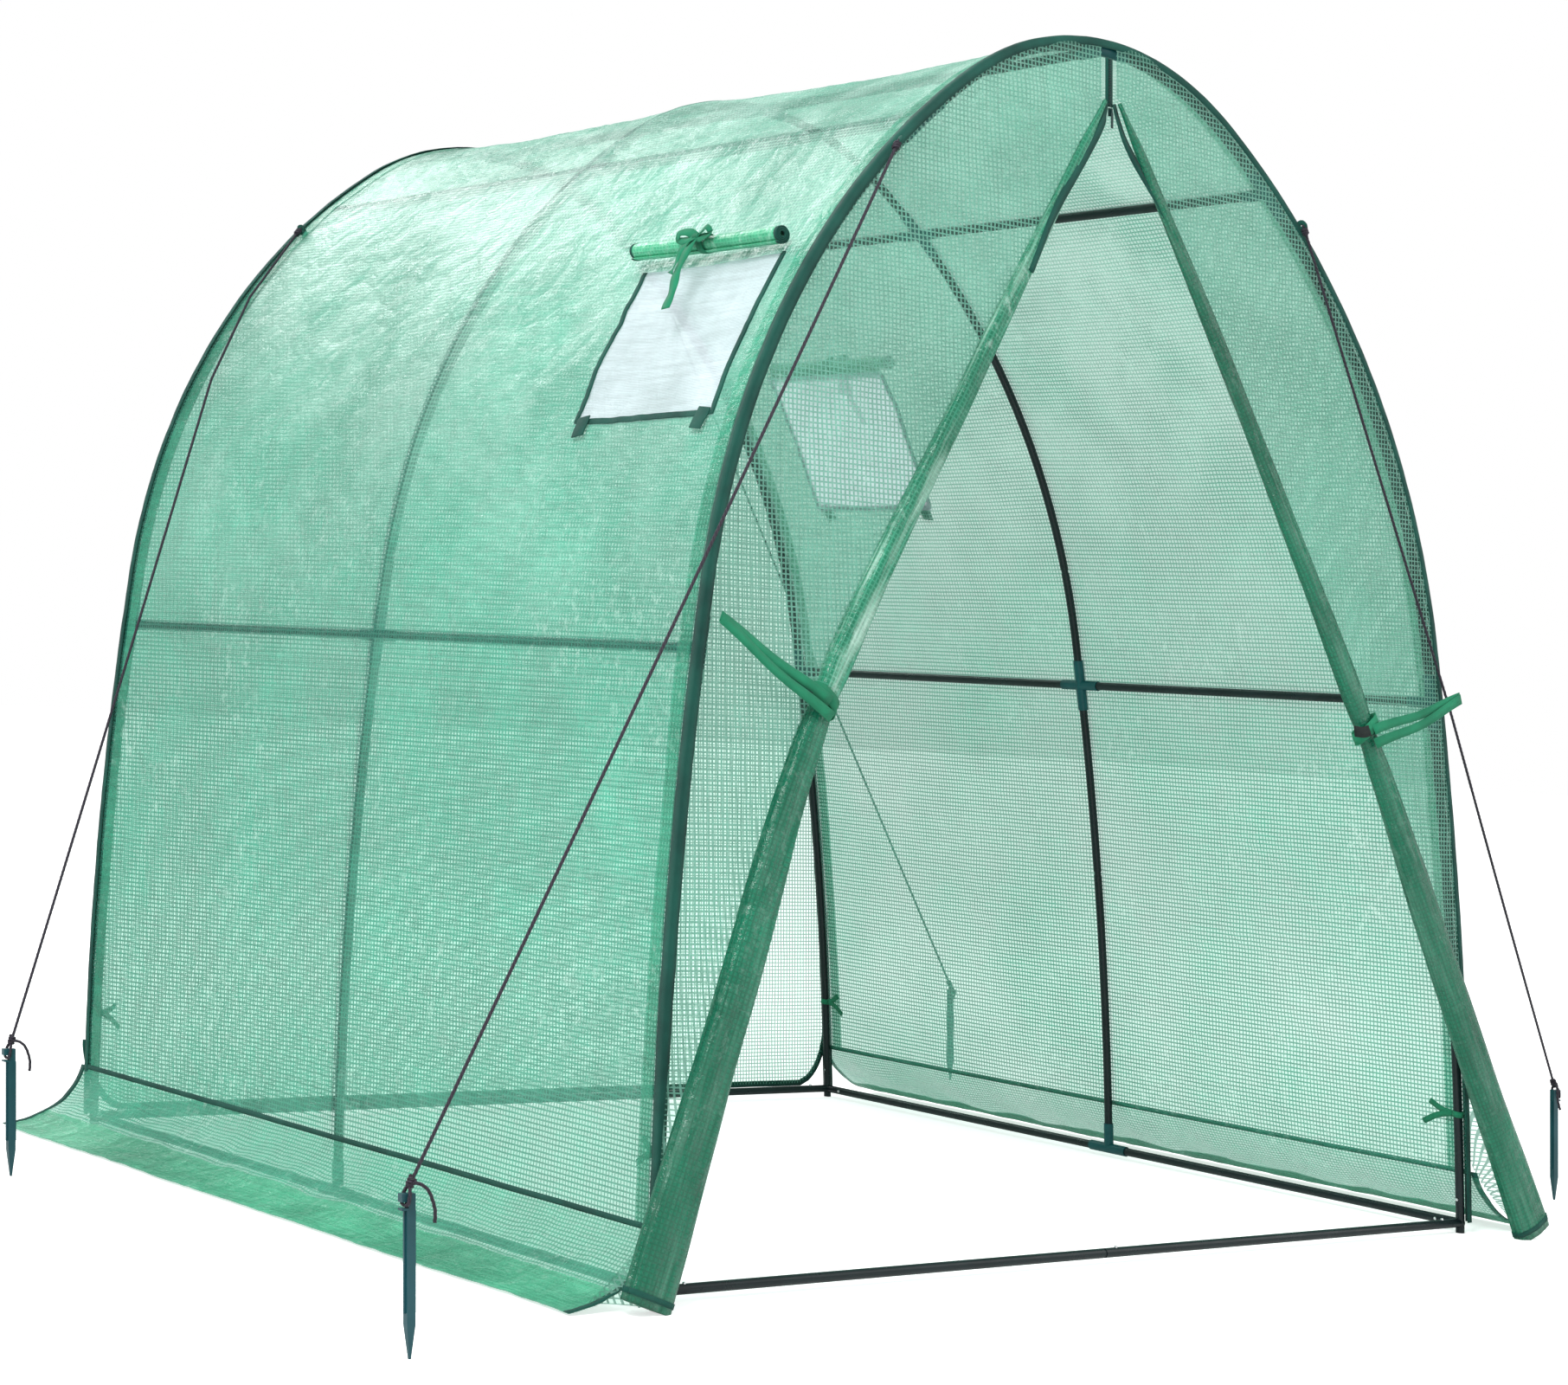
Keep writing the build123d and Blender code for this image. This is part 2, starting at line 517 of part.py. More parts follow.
bindings, all_tabs = [], []
for side_name, (side, middle) in WINDOWS.items():
    low_y, high_y = middle - WINDOW_WIDTH / 2, middle + WINDOW_WIDTH / 2
    edge_turn = turn_for(WINDOW_TRIM, WINDOW_LOW_ANGLE)
    screen = window_sheet(
        -1.0 - SKIN, -1.0, WINDOW_TOP_ANGLE - edge_turn, WINDOW_LOW_ANGLE + edge_turn, low_y - 12.0, high_y + 12.0
    )
    add(f"window_screen_{side_name}", on_side(screen, side))

    trim_in, trim_out = SKIN + 0.5, 2 * SKIN + 0.5
    frame = window_sheet(
        trim_in, trim_out, WINDOW_TOP_ANGLE, WINDOW_LOW_ANGLE + edge_turn, low_y - WINDOW_TRIM, high_y + WINDOW_TRIM
    )
    frame -= window_sheet(trim_in - 1, trim_out + 1, WINDOW_TOP_ANGLE - 1, WINDOW_LOW_ANGLE, low_y, high_y)
    bindings.append(on_side(frame, side))

    tab_turn = turn_for(TAB_SIZE[1], WINDOW_LOW_ANGLE)
    tab_top = WINDOW_LOW_ANGLE + edge_turn / 2
    for y in (low_y, high_y - TAB_SIZE[0]):
        tab = window_sheet(trim_out + 0.5, trim_out + 2.0, tab_top, tab_top + tab_turn, y, y + TAB_SIZE[0])
        all_tabs.append(on_side(tab, side))

    roll_offset = COVER_OFFSET + trim_out + 1.0 + WINDOW_ROLL_R
    roll_angle = WINDOW_TOP_ANGLE - turn_for(WINDOW_ROLL_R, WINDOW_TOP_ANGLE)
    x, z = hoop_point(roll_angle, roll_offset)
    half_roll = WINDOW_ROLL_LENGTH / 2
    roll = bar(WINDOW_ROLL_R, (x, middle - half_roll, z), (x, middle + half_roll, z))
    add(f"window_roll_{side_name}", on_side(roll, side))

    knot_offset = roll_offset + WINDOW_ROLL_R + 1.0 - COVER_OFFSET
    knot_turn = turn_for(20.0, roll_angle)
    knot = window_sheet(
        knot_offset, knot_offset + 10.0, roll_angle - knot_turn, roll_angle + knot_turn, middle - 22, middle + 22
    )
    tail_top = roll_angle + knot_turn
    tail_turn = turn_for(WINDOW_TAIL, roll_angle)
    tail = window_sheet(knot_offset, knot_offset + SKIN, tail_top, tail_top + tail_turn, middle - 11, middle + 11)
    add(f"window_tie_{side_name}", on_side(knot + tail, side))

add("window_bindings", *bindings)
add("window_tabs", *all_tabs)

# ---- small ties that hold the cover to the end legs ----

leg_ties = []
for y_sign in (-1, 1):
    x, z = hoop_point(angle_at_height(215.0))
    y = y_sign * (LENGTH / 2 - 45.0)
    leg_ties += both_sides(Pos(x + 4.0, y, z) * Box(2.0, 60.0, 14.0))
add("leg_ties", *leg_ties)

# ---- guy ropes and stakes ----


def stake(position, side):
    """A driven peg: a tapering blade with a hooked head that opens away from the tunnel."""
    x, y = position
    neck = STAKE_LENGTH - STAKE_HEAD
    blade = loft([Pos(x, y, 0) * Rectangle(3, 3).face(), Pos(x, y, 45) * Rectangle(13, 10).face()], ruled=True)
    shank = Pos(x, y, (45 + neck) / 2) * Box(13, 10, neck - 45)
    rib = Pos(x, y, (60 + neck) / 2) * Box(18, 3, neck - 60)
    head = Pos(x + side * 4, y, neck + STAKE_HEAD / 2) * Box(21, 10, STAKE_HEAD)
    notch = Pos(x + side * 11, y, neck + 7) * Box(14, 12, 8)
    return blade + shank + rib + head - notch


def rope(side, end, leaves, knot):
    """A guy rope from an end hoop to the knot above its stake."""
    face_y = end * (END_PANEL_Y + 12.0)
    turns = [(ROPE_ANGLE, TRIM_OFFSET, face_y)]
    if leaves == "bent":
        turns.append((ROPE_BEND_ANGLE, TRIM_OFFSET + ROPE_CLEARANCE, face_y))
    if leaves == "over wall":
        turns = [(angle, TRIM_OFFSET + ROPE_CLEARANCE, end * (LENGTH / 2 - inset)) for angle, inset in ROPE_OVER_WALL]
    points = []
    for angle, offset, y in turns:
        x, z = hoop_point(angle, offset)
        points.append((side * x, y, z))
    points.append(knot)
    line = bar(ROPE_R, points[0], points[1])
    for bend, after in zip(points[1:], points[2:]):
        line += Pos(*bend) * Sphere(ROPE_R) + bar(ROPE_R, bend, after)
    return line


for name, (x, y, end, leaves) in STAKES.items():
    side = 1 if x > 0 else -1
    add(f"guy_rope_{name}", rope(side, end, leaves, (x, y, STAKE_LENGTH + 10.0)))
    add(f"stake_{name}", stake((x, y), side))

os.makedirs("parts", exist_ok=True)
for name, shape in NODES.items():
    export_step(shape, f"parts/{name}.step")
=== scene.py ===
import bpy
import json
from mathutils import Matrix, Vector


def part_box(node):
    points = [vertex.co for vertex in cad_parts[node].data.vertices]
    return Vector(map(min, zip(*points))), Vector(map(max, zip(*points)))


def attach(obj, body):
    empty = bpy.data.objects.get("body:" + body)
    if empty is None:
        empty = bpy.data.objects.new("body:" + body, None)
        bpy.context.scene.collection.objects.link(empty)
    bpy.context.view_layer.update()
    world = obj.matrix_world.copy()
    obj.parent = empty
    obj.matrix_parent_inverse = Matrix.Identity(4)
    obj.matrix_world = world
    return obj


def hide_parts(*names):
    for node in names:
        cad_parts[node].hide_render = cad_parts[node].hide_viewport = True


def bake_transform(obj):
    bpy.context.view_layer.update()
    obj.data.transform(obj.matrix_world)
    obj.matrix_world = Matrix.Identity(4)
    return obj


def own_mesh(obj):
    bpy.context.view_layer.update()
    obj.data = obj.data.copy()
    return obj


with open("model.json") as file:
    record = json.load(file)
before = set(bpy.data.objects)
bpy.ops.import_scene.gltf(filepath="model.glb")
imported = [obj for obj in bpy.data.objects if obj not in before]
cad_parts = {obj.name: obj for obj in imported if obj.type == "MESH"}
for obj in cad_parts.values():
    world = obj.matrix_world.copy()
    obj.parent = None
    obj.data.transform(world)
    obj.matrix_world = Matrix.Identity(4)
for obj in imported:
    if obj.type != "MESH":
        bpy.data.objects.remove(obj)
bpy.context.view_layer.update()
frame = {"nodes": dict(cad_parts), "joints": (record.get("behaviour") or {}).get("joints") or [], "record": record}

import json
import math

import bpy
from mathutils import Matrix, Vector, noise

# A walk-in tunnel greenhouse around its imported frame. Metres, door end facing -Y.

# ---- the frame's main sizes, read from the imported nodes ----

rails_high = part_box("side_rails")[1]
ridge_low, ridge_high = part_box("ridge_purlins")
TUBE_R = (ridge_high.z - ridge_low.z) / 2
CROWN_Z = ridge_high.z - TUBE_R
HALF_WIDTH = rails_high.x - TUBE_R
RAIL_Z = rails_high.z - TUBE_R
HALF_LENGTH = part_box("rear_rail")[1].y - TUBE_R
MID_PURLIN_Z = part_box("mid_purlins")[1].z - TUBE_R

# half a hoop is three tangent arcs: crown, shoulder and leg (angles from straight up)
CROWN_RADIUS, CROWN_ANGLE = 0.480, 35.0
SHOULDER_RADIUS, SHOULDER_ANGLE = 1.285, 80.5
UPPER_PURLIN_ANGLE = 41.5
TIE_ANGLE = 45.0          # where the guy ropes are tied on


def step(start, distance, angle):
    a = math.radians(angle)
    return start[0] + distance * math.sin(a), start[1] + distance * math.cos(a)


crown_centre = (0.0, CROWN_Z - CROWN_RADIUS)
shoulder_centre = step(crown_centre, CROWN_RADIUS - SHOULDER_RADIUS, CROWN_ANGLE)
leg_top = step(shoulder_centre, SHOULDER_RADIUS, SHOULDER_ANGLE)
leg_run = (HALF_WIDTH - leg_top[0], leg_top[1] - RAIL_Z)
leg_turn = 2 * (90.0 - SHOULDER_ANGLE - math.degrees(math.atan2(*leg_run)))
LEG_RADIUS = math.hypot(*leg_run) / 2 / math.sin(math.radians(leg_turn / 2))
leg_centre = step(leg_top, -LEG_RADIUS, SHOULDER_ANGLE)
ARCS = (
    (crown_centre, CROWN_RADIUS, 0.0, CROWN_ANGLE),
    (shoulder_centre, SHOULDER_RADIUS, CROWN_ANGLE, SHOULDER_ANGLE),
    (leg_centre, LEG_RADIUS, SHOULDER_ANGLE, 110.0),
)


def hoop_at(s, offset=0.0):
    """X, Z and the outward angle at a signed distance s along the hoop from the crown."""
    left, side = abs(s), math.copysign(1.0, s)
    for centre, radius, low, high in ARCS:
        length = radius * math.radians(high - low)
        if left <= length or high > 100:
            angle = low + math.degrees(left / radius)
            x, z = step(centre, radius + offset, angle)
            return side * x, z, side * angle
        left -= length


def run_at_angle(angle):
    """Distance along the hoop from the crown to a hoop angle."""
    total = 0.0
    for centre, radius, low, high in ARCS:
        total += radius * math.radians(max(0.0, min(angle, high) - low))
    return total


def run_at_height(z):
    """Distance along the hoop from the crown to a height on the side."""
    if z > leg_top[1]:
        return run_at_angle(math.degrees(math.acos((z - shoulder_centre[1]) / SHOULDER_RADIUS)))
    return run_at_angle(math.degrees(math.acos((z - leg_centre[1]) / LEG_RADIUS)))


def outward(angle):
    a = math.radians(angle)
    return Vector((math.sin(a), 0.0, math.cos(a)))


def smooth(t):
    t = min(1.0, max(0.0, t))
    return t * t * (3 - 2 * t)


def ripple(p, scale, seed=0.0, octaves=3):
    """Smooth noise between about -1 and 1, the same on every run."""
    return noise.fractal(Vector(p) / scale + Vector((seed, 1.7 * seed, -seed)), 0.9, 2.0, octaves)


# ---- materials ----

GRID = 0.008            # pitch of the cover's reinforcing threads


class Graph:
    """A small helper that adds shader nodes and links them by name."""

    def __init__(self, name):
        self.material = bpy.data.materials.new(name)
        self.material.use_nodes = True
        self.tree = self.material.node_tree
        self.tree.nodes.clear()
        self.output = self.tree.nodes.new("ShaderNodeOutputMaterial")

    def node(self, kind, settings=None, **inputs):
        made = self.tree.nodes.new("ShaderNode" + kind)
        for key, value in (settings or {}).items():
            setattr(made, key, value)
        for key, value in inputs.items():
            self.set(made, key.replace("_", " "), value)
        return made

    def set(self, node, key, value):
        socket = node.inputs[int(key)] if key.isdigit() else node.inputs[key]
        if isinstance(value, bpy.types.NodeSocket):
            self.tree.links.new(value, socket)
        else:
            socket.default_value = value

    def math(self, operation, a, b=0.0, c=0.0, clamp=False):
        made = self.node("Math", {"operation": operation, "use_clamp": clamp})
        for index, value in enumerate((a, b, c)):
            self.set(made, str(index), value)
        return made.outputs[0]

    def mix(self, factor, a, b):
        made = self.node("Mix", {"data_type": "RGBA"})
        self.set(made, "0", factor)
        for index, value in ((6, a), (7, b)):
            self.set(made, str(index), value if isinstance(value, bpy.types.NodeSocket) else (*value, 1.0))
        return made.outputs[2]

    def noise(self, scale, detail=3.0, vector=None, roughness=0.55):
        made = self.node("TexNoise", Scale=scale, Detail=detail, Roughness=roughness)
        vector = vector or self.node("NewGeometry").outputs["Position"]
        self.set(made, "Vector", vector)
        return made.outputs["Fac"]

    def warped(self, amount, scale):
        """Position pushed about by noise, so that a pattern laid on it looks irregular."""
        position = self.node("NewGeometry").outputs["Position"]
        push = self.node("TexNoise", Scale=scale, Detail=2.0)
        self.set(push, "Vector", position)
        moved = self.node("VectorMath", {"operation": "MULTIPLY_ADD"})
        self.set(moved, "0", push.outputs["Color"])
        self.set(moved, "1", (amount, amount, amount))
        self.set(moved, "2", position)
        return moved.outputs[0]

    def range(self, value, low, high, to_low, to_high):
        made = self.node("MapRange")
        for index, number in enumerate((value, low, high, to_low, to_high)):
            self.set(made, str(index), number)
        return made.outputs[0]

    def bump(self, height, distance, strength):
        return self.node("Bump", Height=height, Distance=distance, Strength=strength).outputs[0]

    def finish(self, shader):
        self.tree.links.new(shader.outputs[0], self.output.inputs[0])
        return self.material


def thread_mask(graph, along, pitch, width):
    """1 on threads of a width that repeat every pitch along a coordinate, 0 between them."""
    place = graph.math("FRACT", graph.math("DIVIDE", along, pitch))
    from_middle = graph.math("ABSOLUTE", graph.math("SUBTRACT", place, 0.5))
    half = width / pitch / 2
    return graph.range(from_middle, half * 1.25, half * 0.75, 0.0, 1.0)


def weave_axes(graph, planar):
    """Across and along the weave, in metres: stored on the sheet, or X and Z for a flat end panel."""
    if planar:
        axes = graph.node("SeparateXYZ", Vector=graph.node("NewGeometry").outputs["Position"])
        return axes.outputs[0], axes.outputs[2]
    stored = graph.node("Attribute", {"attribute_name": "weave"}).outputs["Vector"]
    axes = graph.node("SeparateXYZ", Vector=stored)
    return axes.outputs[0], axes.outputs[1]


MID_RUN, UPPER_RUN = run_at_height(MID_PURLIN_Z), run_at_angle(UPPER_PURLIN_ANGLE)


def woven_film(
    name,
    thread,
    film,
    film_cover,
    thread_cover,
    planar=False,
    pitch=GRID,
    glow=0.35,
    shine=0.22,
    tint=(0.82, 0.97, 0.91),
    highlight_streak=0.0,
    highlight_flecks=0.4,
    lit=(0.50, 0.84, 0.72),
    crown_sheen=0.0,
    tubes=((), ()),
):
    """Thin plastic film with a square grid of milky threads in it; the squares between them are nearly clear.

    highlight_streak paints pale highlight bands that run along a roll, where single layers of film catch the
    light; highlight_flecks paints pale highlights on the crumples. lit is the colour that light takes on coming
    through; crown_sheen paints a pale sheen on the film towards the crown. tubes gives the coordinates across
    and along at which a tube lies behind the film; painted shade darkens the film over it.
    """
    g = Graph(name)
    across, along = weave_axes(g, planar)
    place = g.node("CombineXYZ", X=across, Y=along).outputs[0]
    threads = g.math(
        "MAXIMUM", thread_mask(g, across, pitch, pitch * 0.36), thread_mask(g, along, pitch, pitch * 0.30)
    )
    cloudy = g.noise(2.3, 4.0)
    fine = g.noise(90.0, 2.0)
    patchy = g.noise(11.0, 5.0, roughness=0.7)
    rows = g.node("Mapping", Vector=place)
    rows.inputs["Scale"].default_value = (150.0, 5.0, 1.0)
    uneven = g.noise(1.0, 3.0, rows.outputs[0], 0.7)
    shade = g.math("MULTIPLY", g.range(cloudy, 0.3, 0.7, 0.72, 1.18), g.range(patchy, 0.3, 0.7, 0.84, 1.12))
    shade = g.math("MULTIPLY", shade, g.range(uneven, 0.3, 0.7, 0.82, 1.14))
    colour = g.mix(threads, film, thread)
    tone = g.node("CombineColor", Red=shade, Green=shade, Blue=shade).outputs[0]
    colour = g.mix(1.0, colour, tone)
    g.tree.nodes[-1].blend_type = "MULTIPLY"
    # painted highlights: pale flecks on the crumples, in patches, stand in for light glinting off creased film
    crumpled = g.range(g.noise(55.0, 6.0, g.warped(0.06, 9.0), 0.72), 0.53, 0.66, 0.0, 1.0)
    where = g.range(g.noise(3.4, 3.0), 0.46, 0.62, 0.10, 1.0)
    colour = g.mix(
        g.math("MULTIPLY", g.math("MULTIPLY", crumpled, where), highlight_flecks), colour, (0.66, 0.90, 0.80)
    )
    # painted sheen: pale green mixed in, in patches, from the crown down past the upper purlins
    crown = g.range(g.math("ABSOLUTE", across), UPPER_RUN, MID_RUN * 1.1, crown_sheen, 0.0)
    patches = g.range(g.noise(5.0, 5.0, roughness=0.6), 0.42, 0.60, 0.25, 1.0)
    colour = g.mix(g.math("MULTIPLY", crown, patches), colour, (0.62, 0.88, 0.78))
    # painted shade: the film is darkened in bands over the hoops and purlins that lie behind it
    tube_shade = 0.0
    for axis, lines in zip((across, along), tubes):
        for line in lines:
            apart = g.math("ABSOLUTE", g.math("SUBTRACT", g.math("ABSOLUTE", axis), line))
            tube_shade = g.math("MAXIMUM", tube_shade, g.range(apart, TUBE_R * 0.75, TUBE_R * 1.25, 1.0, 0.0))
    colour = g.mix(g.math("MULTIPLY", tube_shade, 0.75), colour, (0.02, 0.17, 0.12))
    # painted highlight: pale bands along a roll
    if highlight_streak:
        stretched = g.node("Mapping", Vector=place)
        stretched.inputs["Scale"].default_value = (34.0, 3.0, 1.0)
        bands = g.noise(1.0, 4.0, stretched.outputs[0], 0.6)
        colour = g.mix(g.range(bands, 0.50, 0.72, 0.0, highlight_streak), colour, (0.58, 0.84, 0.72))
    crease = g.noise(13.0, 6.0, roughness=0.66)
    crackle = g.node(
        "TexVoronoi", {"feature": "DISTANCE_TO_EDGE"}, Scale=13.0, Vector=g.warped(0.09, 9.0)
    ).outputs["Distance"]
    folds = g.math(
        "ADD",
        g.math("MULTIPLY", crease, 2.6),
        g.math("MULTIPLY", g.range(crackle, 0.0, 0.25, 0.0, 1.0), 0.55),
    )
    height = g.math("ADD", folds, g.math("MULTIPLY", threads, 0.10))
    normal = g.bump(height, 0.0055, 0.75)
    gloss = g.range(fine, 0.3, 0.7, shine, shine + 0.14)
    surface = g.node(
        "BsdfPrincipled", Base_Color=colour, Roughness=gloss, Normal=normal, Specular_IOR_Level=0.40
    )
    glowing = g.node("BsdfTranslucent", Color=g.mix(0.5, colour, lit), Normal=normal)
    solid = g.node("MixShader")
    g.set(solid, "0", glow)
    g.set(solid, "1", surface.outputs[0])
    g.set(solid, "2", glowing.outputs[0])
    clear = g.node("BsdfTransparent", Color=(*tint, 1.0))
    worn = g.range(cloudy, 0.35, 0.65, -0.05, 0.05)
    covered = g.math("ADD", g.range(threads, 0.0, 1.0, film_cover, thread_cover), worn, clamp=True)
    mixed = g.node("MixShader")
    g.set(mixed, "0", covered)
    g.set(mixed, "1", clear.outputs[0])
    g.set(mixed, "2", solid.outputs[0])
    return g.finish(mixed)


def webbing(name, dark, light, rib=0.0016, roughness=0.75):
    """Narrow woven tape: ribs across it, fuzz and uneven dye."""
    g = Graph(name)
    across, along = weave_axes(g, False)
    ribs = g.math("SINE", g.math("MULTIPLY", g.math("ADD", across, along), 2 * math.pi / rib))
    grain = g.noise(420.0, 2.0)
    colour = g.mix(g.range(g.noise(14.0), 0.3, 0.7, 0.0, 1.0), dark, light)
    height = g.math("ADD", g.math("MULTIPLY", ribs, 0.5), grain)
    surface = g.node(
        "BsdfPrincipled",
        Base_Color=colour,
        Roughness=roughness,
        Normal=g.bump(height, 0.0006, 0.7),
        Sheen_Weight=0.05,
        Specular_IOR_Level=0.2,
    )
    return g.finish(surface)


def hard_surface(name, dark, light, roughness, metal=0.0, specular=0.3):
    """Painted steel or moulded plastic with fine grain and slightly uneven colour and gloss."""
    g = Graph(name)
    patches = g.noise(9.0, 4.0)
    colour = g.mix(g.range(patches, 0.3, 0.7, 0.0, 1.0), dark, light)
    gloss = g.range(g.noise(35.0), 0.3, 0.7, roughness - 0.06, roughness + 0.10)
    surface = g.node(
        "BsdfPrincipled",
        Base_Color=colour,
        Roughness=gloss,
        Metallic=metal,
        Specular_IOR_Level=specular,
        Normal=g.bump(g.noise(900.0, 2.0), 0.0002, 0.5),
    )
    return g.finish(surface)


def twisted_rope(name, dark, light, lay=0.009):
    """Laid cord: strands wind round it, so height runs in slanted bands, and painted shade darkens the grooves
    between them.
    """
    g = Graph(name)
    across, along = weave_axes(g, False)
    turns = g.math("ADD", g.math("MULTIPLY", across, 3.0), g.math("DIVIDE", along, lay))
    strand = g.math("ABSOLUTE", g.math("SINE", g.math("MULTIPLY", turns, math.pi)))
    # painted shade: dark in the grooves between strands, light on their crowns
    colour = g.mix(strand, dark, light)
    surface = g.node(
        "BsdfPrincipled",
        Base_Color=colour,
        Roughness=0.7,
        Normal=g.bump(strand, 0.0012, 0.9),
        Sheen_Weight=0.03,
    )
    return g.finish(surface)


COVER = woven_film(
    "cover_film",
    (0.035, 0.29, 0.19),
    (0.09, 0.45, 0.31),
    0.50,
    0.94,
    crown_sheen=0.5,
    tubes=((0.0, UPPER_RUN, MID_RUN), (0.0, HALF_LENGTH)),
)
PANEL = woven_film(
    "end_panel_film", (0.12, 0.34, 0.26), (0.20, 0.46, 0.36), 0.10, 0.84, planar=True, highlight_flecks=0.25
)
SKIRT = woven_film("skirt_film", (0.04, 0.32, 0.20), (0.06, 0.40, 0.26), 0.66, 0.95)
SELVEDGE = woven_film("skirt_edge_film", (0.11, 0.50, 0.31), (0.09, 0.46, 0.28), 0.96, 1.0, highlight_flecks=0.3)
ROLLED = woven_film(
    "rolled_film",
    (0.002, 0.115, 0.060),
    (0.003, 0.150, 0.080),
    0.98,
    1.0,
    glow=0.06,
    shine=0.14,
    highlight_streak=0.10,
    highlight_flecks=0.08,
)
LOOSE_ROLL = woven_film(
    "loose_roll_film",
    (0.04, 0.28, 0.17),
    (0.01, 0.19, 0.10),
    0.92,
    1.0,
    glow=0.20,
    shine=0.14,
    highlight_streak=0.85,
    highlight_flecks=0.5,
)
SMALL_ROLL = woven_film(
    "small_roll_film", (0.09, 0.48, 0.27), (0.045, 0.38, 0.20), 0.97, 1.0, glow=0.15, shine=0.22
)
SCREEN = woven_film(
    "window_screen_net",
    (0.86, 0.92, 1.0),
    (0.84, 0.91, 1.0),
    0.62,
    0.95,
    pitch=0.0024,
    glow=0.60,
    shine=0.5,
    tint=(0.95, 0.98, 1.0),
    highlight_flecks=0.0,
    lit=(0.92, 0.95, 1.0),
)
BINDING = webbing("dark_binding", (0.003, 0.045, 0.035), (0.007, 0.085, 0.062))
STRAP = webbing("green_strap", (0.008, 0.15, 0.075), (0.015, 0.24, 0.12))
PATCH = webbing("black_fastener", (0.006, 0.010, 0.010), (0.016, 0.024, 0.022), rib=0.0011, roughness=0.95)
STEEL = hard_surface("painted_steel", (0.003, 0.008, 0.009), (0.007, 0.015, 0.017), 0.30, specular=0.28)
CONNECTOR = hard_surface("connector_plastic", (0.002, 0.050, 0.055), (0.004, 0.085, 0.092), 0.42)
STAKE = hard_surface("stake_plastic", (0.006, 0.045, 0.055), (0.010, 0.070, 0.085), 0.38)
SILVER = hard_surface(
    "bright_spring_steel", (0.62, 0.62, 0.64), (0.80, 0.80, 0.82), 0.25, metal=1.0, specular=0.5
)
ZIP_PLASTIC = hard_surface("zip_plastic", (0.003, 0.020, 0.018), (0.008, 0.040, 0.036), 0.45)
ROPE = twisted_rope("guy_rope_cord", (0.004, 0.003, 0.007), (0.016, 0.010, 0.024))

cad_finishes = {
    "frame_tube": STEEL,
    "corner_steel": STEEL,
    "connector": CONNECTOR,
    "spring_steel": SILVER,
    "stake_plastic": STAKE,
}
slots = {part["node"]: part["material_slot"] for part in frame["record"]["subparts"]}
for node, obj in frame["nodes"].items():
    if slots[node] in cad_finishes:
        obj.data.materials.clear()
        obj.data.materials.append(cad_finishes[slots[node]])


# ---- building blocks ----


def piece(name, shape, material, body, replaces=(), smooth_shade=True):
    """An object that rides on a body; shape holds its vertices, faces and weave, or None for no weave."""
    vertices, faces, weave = shape
    mesh = bpy.data.meshes.new(name)
    mesh.from_pydata([tuple(v) for v in vertices], [], faces)
    mesh.materials.append(material)
    if weave:
        stored = mesh.attributes.new("weave", "FLOAT_VECTOR", "POINT")
        stored.data.foreach_set("vector", [c for uv in weave for c in (uv[0], uv[1], 0.0)])
    for polygon in mesh.polygons:
        polygon.use_smooth = smooth_shade
    obj = bpy.data.objects.new(name, mesh)
    bpy.context.scene.collection.objects.link(obj)
    if body:
        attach(obj, body)
    if replaces:
        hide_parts(*replaces)
    return obj


def spaced(breaks, gap):
    """Values through every break, evenly spaced between them and no further apart than gap."""
    values = [breaks[0]]
    for low, high in zip(breaks, breaks[1:]):
        count = max(1, math.ceil((high - low) / gap))
        values += [low + (high - low) * (i + 1) / count for i in range(count)]
    return values


def sheet(rows, columns, point, keep=None):
    """Vertices, faces and weave of a sheet sampled at rows x columns; point gives (position, weave)."""
    vertices, weave, faces = [], [], []
    for r in rows:
        for c in columns:
            position, uv = point(r, c)
            vertices.append(position)
            weave.append(uv)
    width = len(columns)
    for i in range(len(rows) - 1):
        for j in range(width - 1):
            middle = ((rows[i] + rows[i + 1]) / 2, (columns[j] + columns[j + 1]) / 2)
            if keep is None or keep(*middle):
                first = i * width + j
                faces.append((first, first + 1, first + width + 1, first + width))
    return vertices, faces, weave


def drop_loose(vertices, faces, weave):
    """The same shape without the vertices that no face uses."""
    used = sorted({v for face in faces for v in face})
    index = {old: new for new, old in enumerate(used)}
    return (
        [vertices[v] for v in used],
        [tuple(index[v] for v in face) for face in faces],
        [weave[v] for v in used],
    )


def thicken(obj, thickness):
    solid = obj.modifiers.new("thickness", "SOLIDIFY")
    solid.thickness = thickness
    solid.offset = 0.0
    return obj


def frames_along(points):
    """A tangent, side and up direction at each point of a path, turning as little as possible."""
    tangents = []
    for i, p in enumerate(points):
        before, after = points[max(0, i - 1)], points[min(len(points) - 1, i + 1)]
        tangents.append((after - before).normalized())
    side = tangents[0].cross(Vector((0, 0, 1)))
    if side.length < 1e-3:
        side = tangents[0].cross(Vector((1, 0, 0)))
    frames = []
    for tangent in tangents:
        side = (side - tangent * side.dot(tangent)).normalized()
        frames.append((tangent, side, tangent.cross(side)))
    return frames


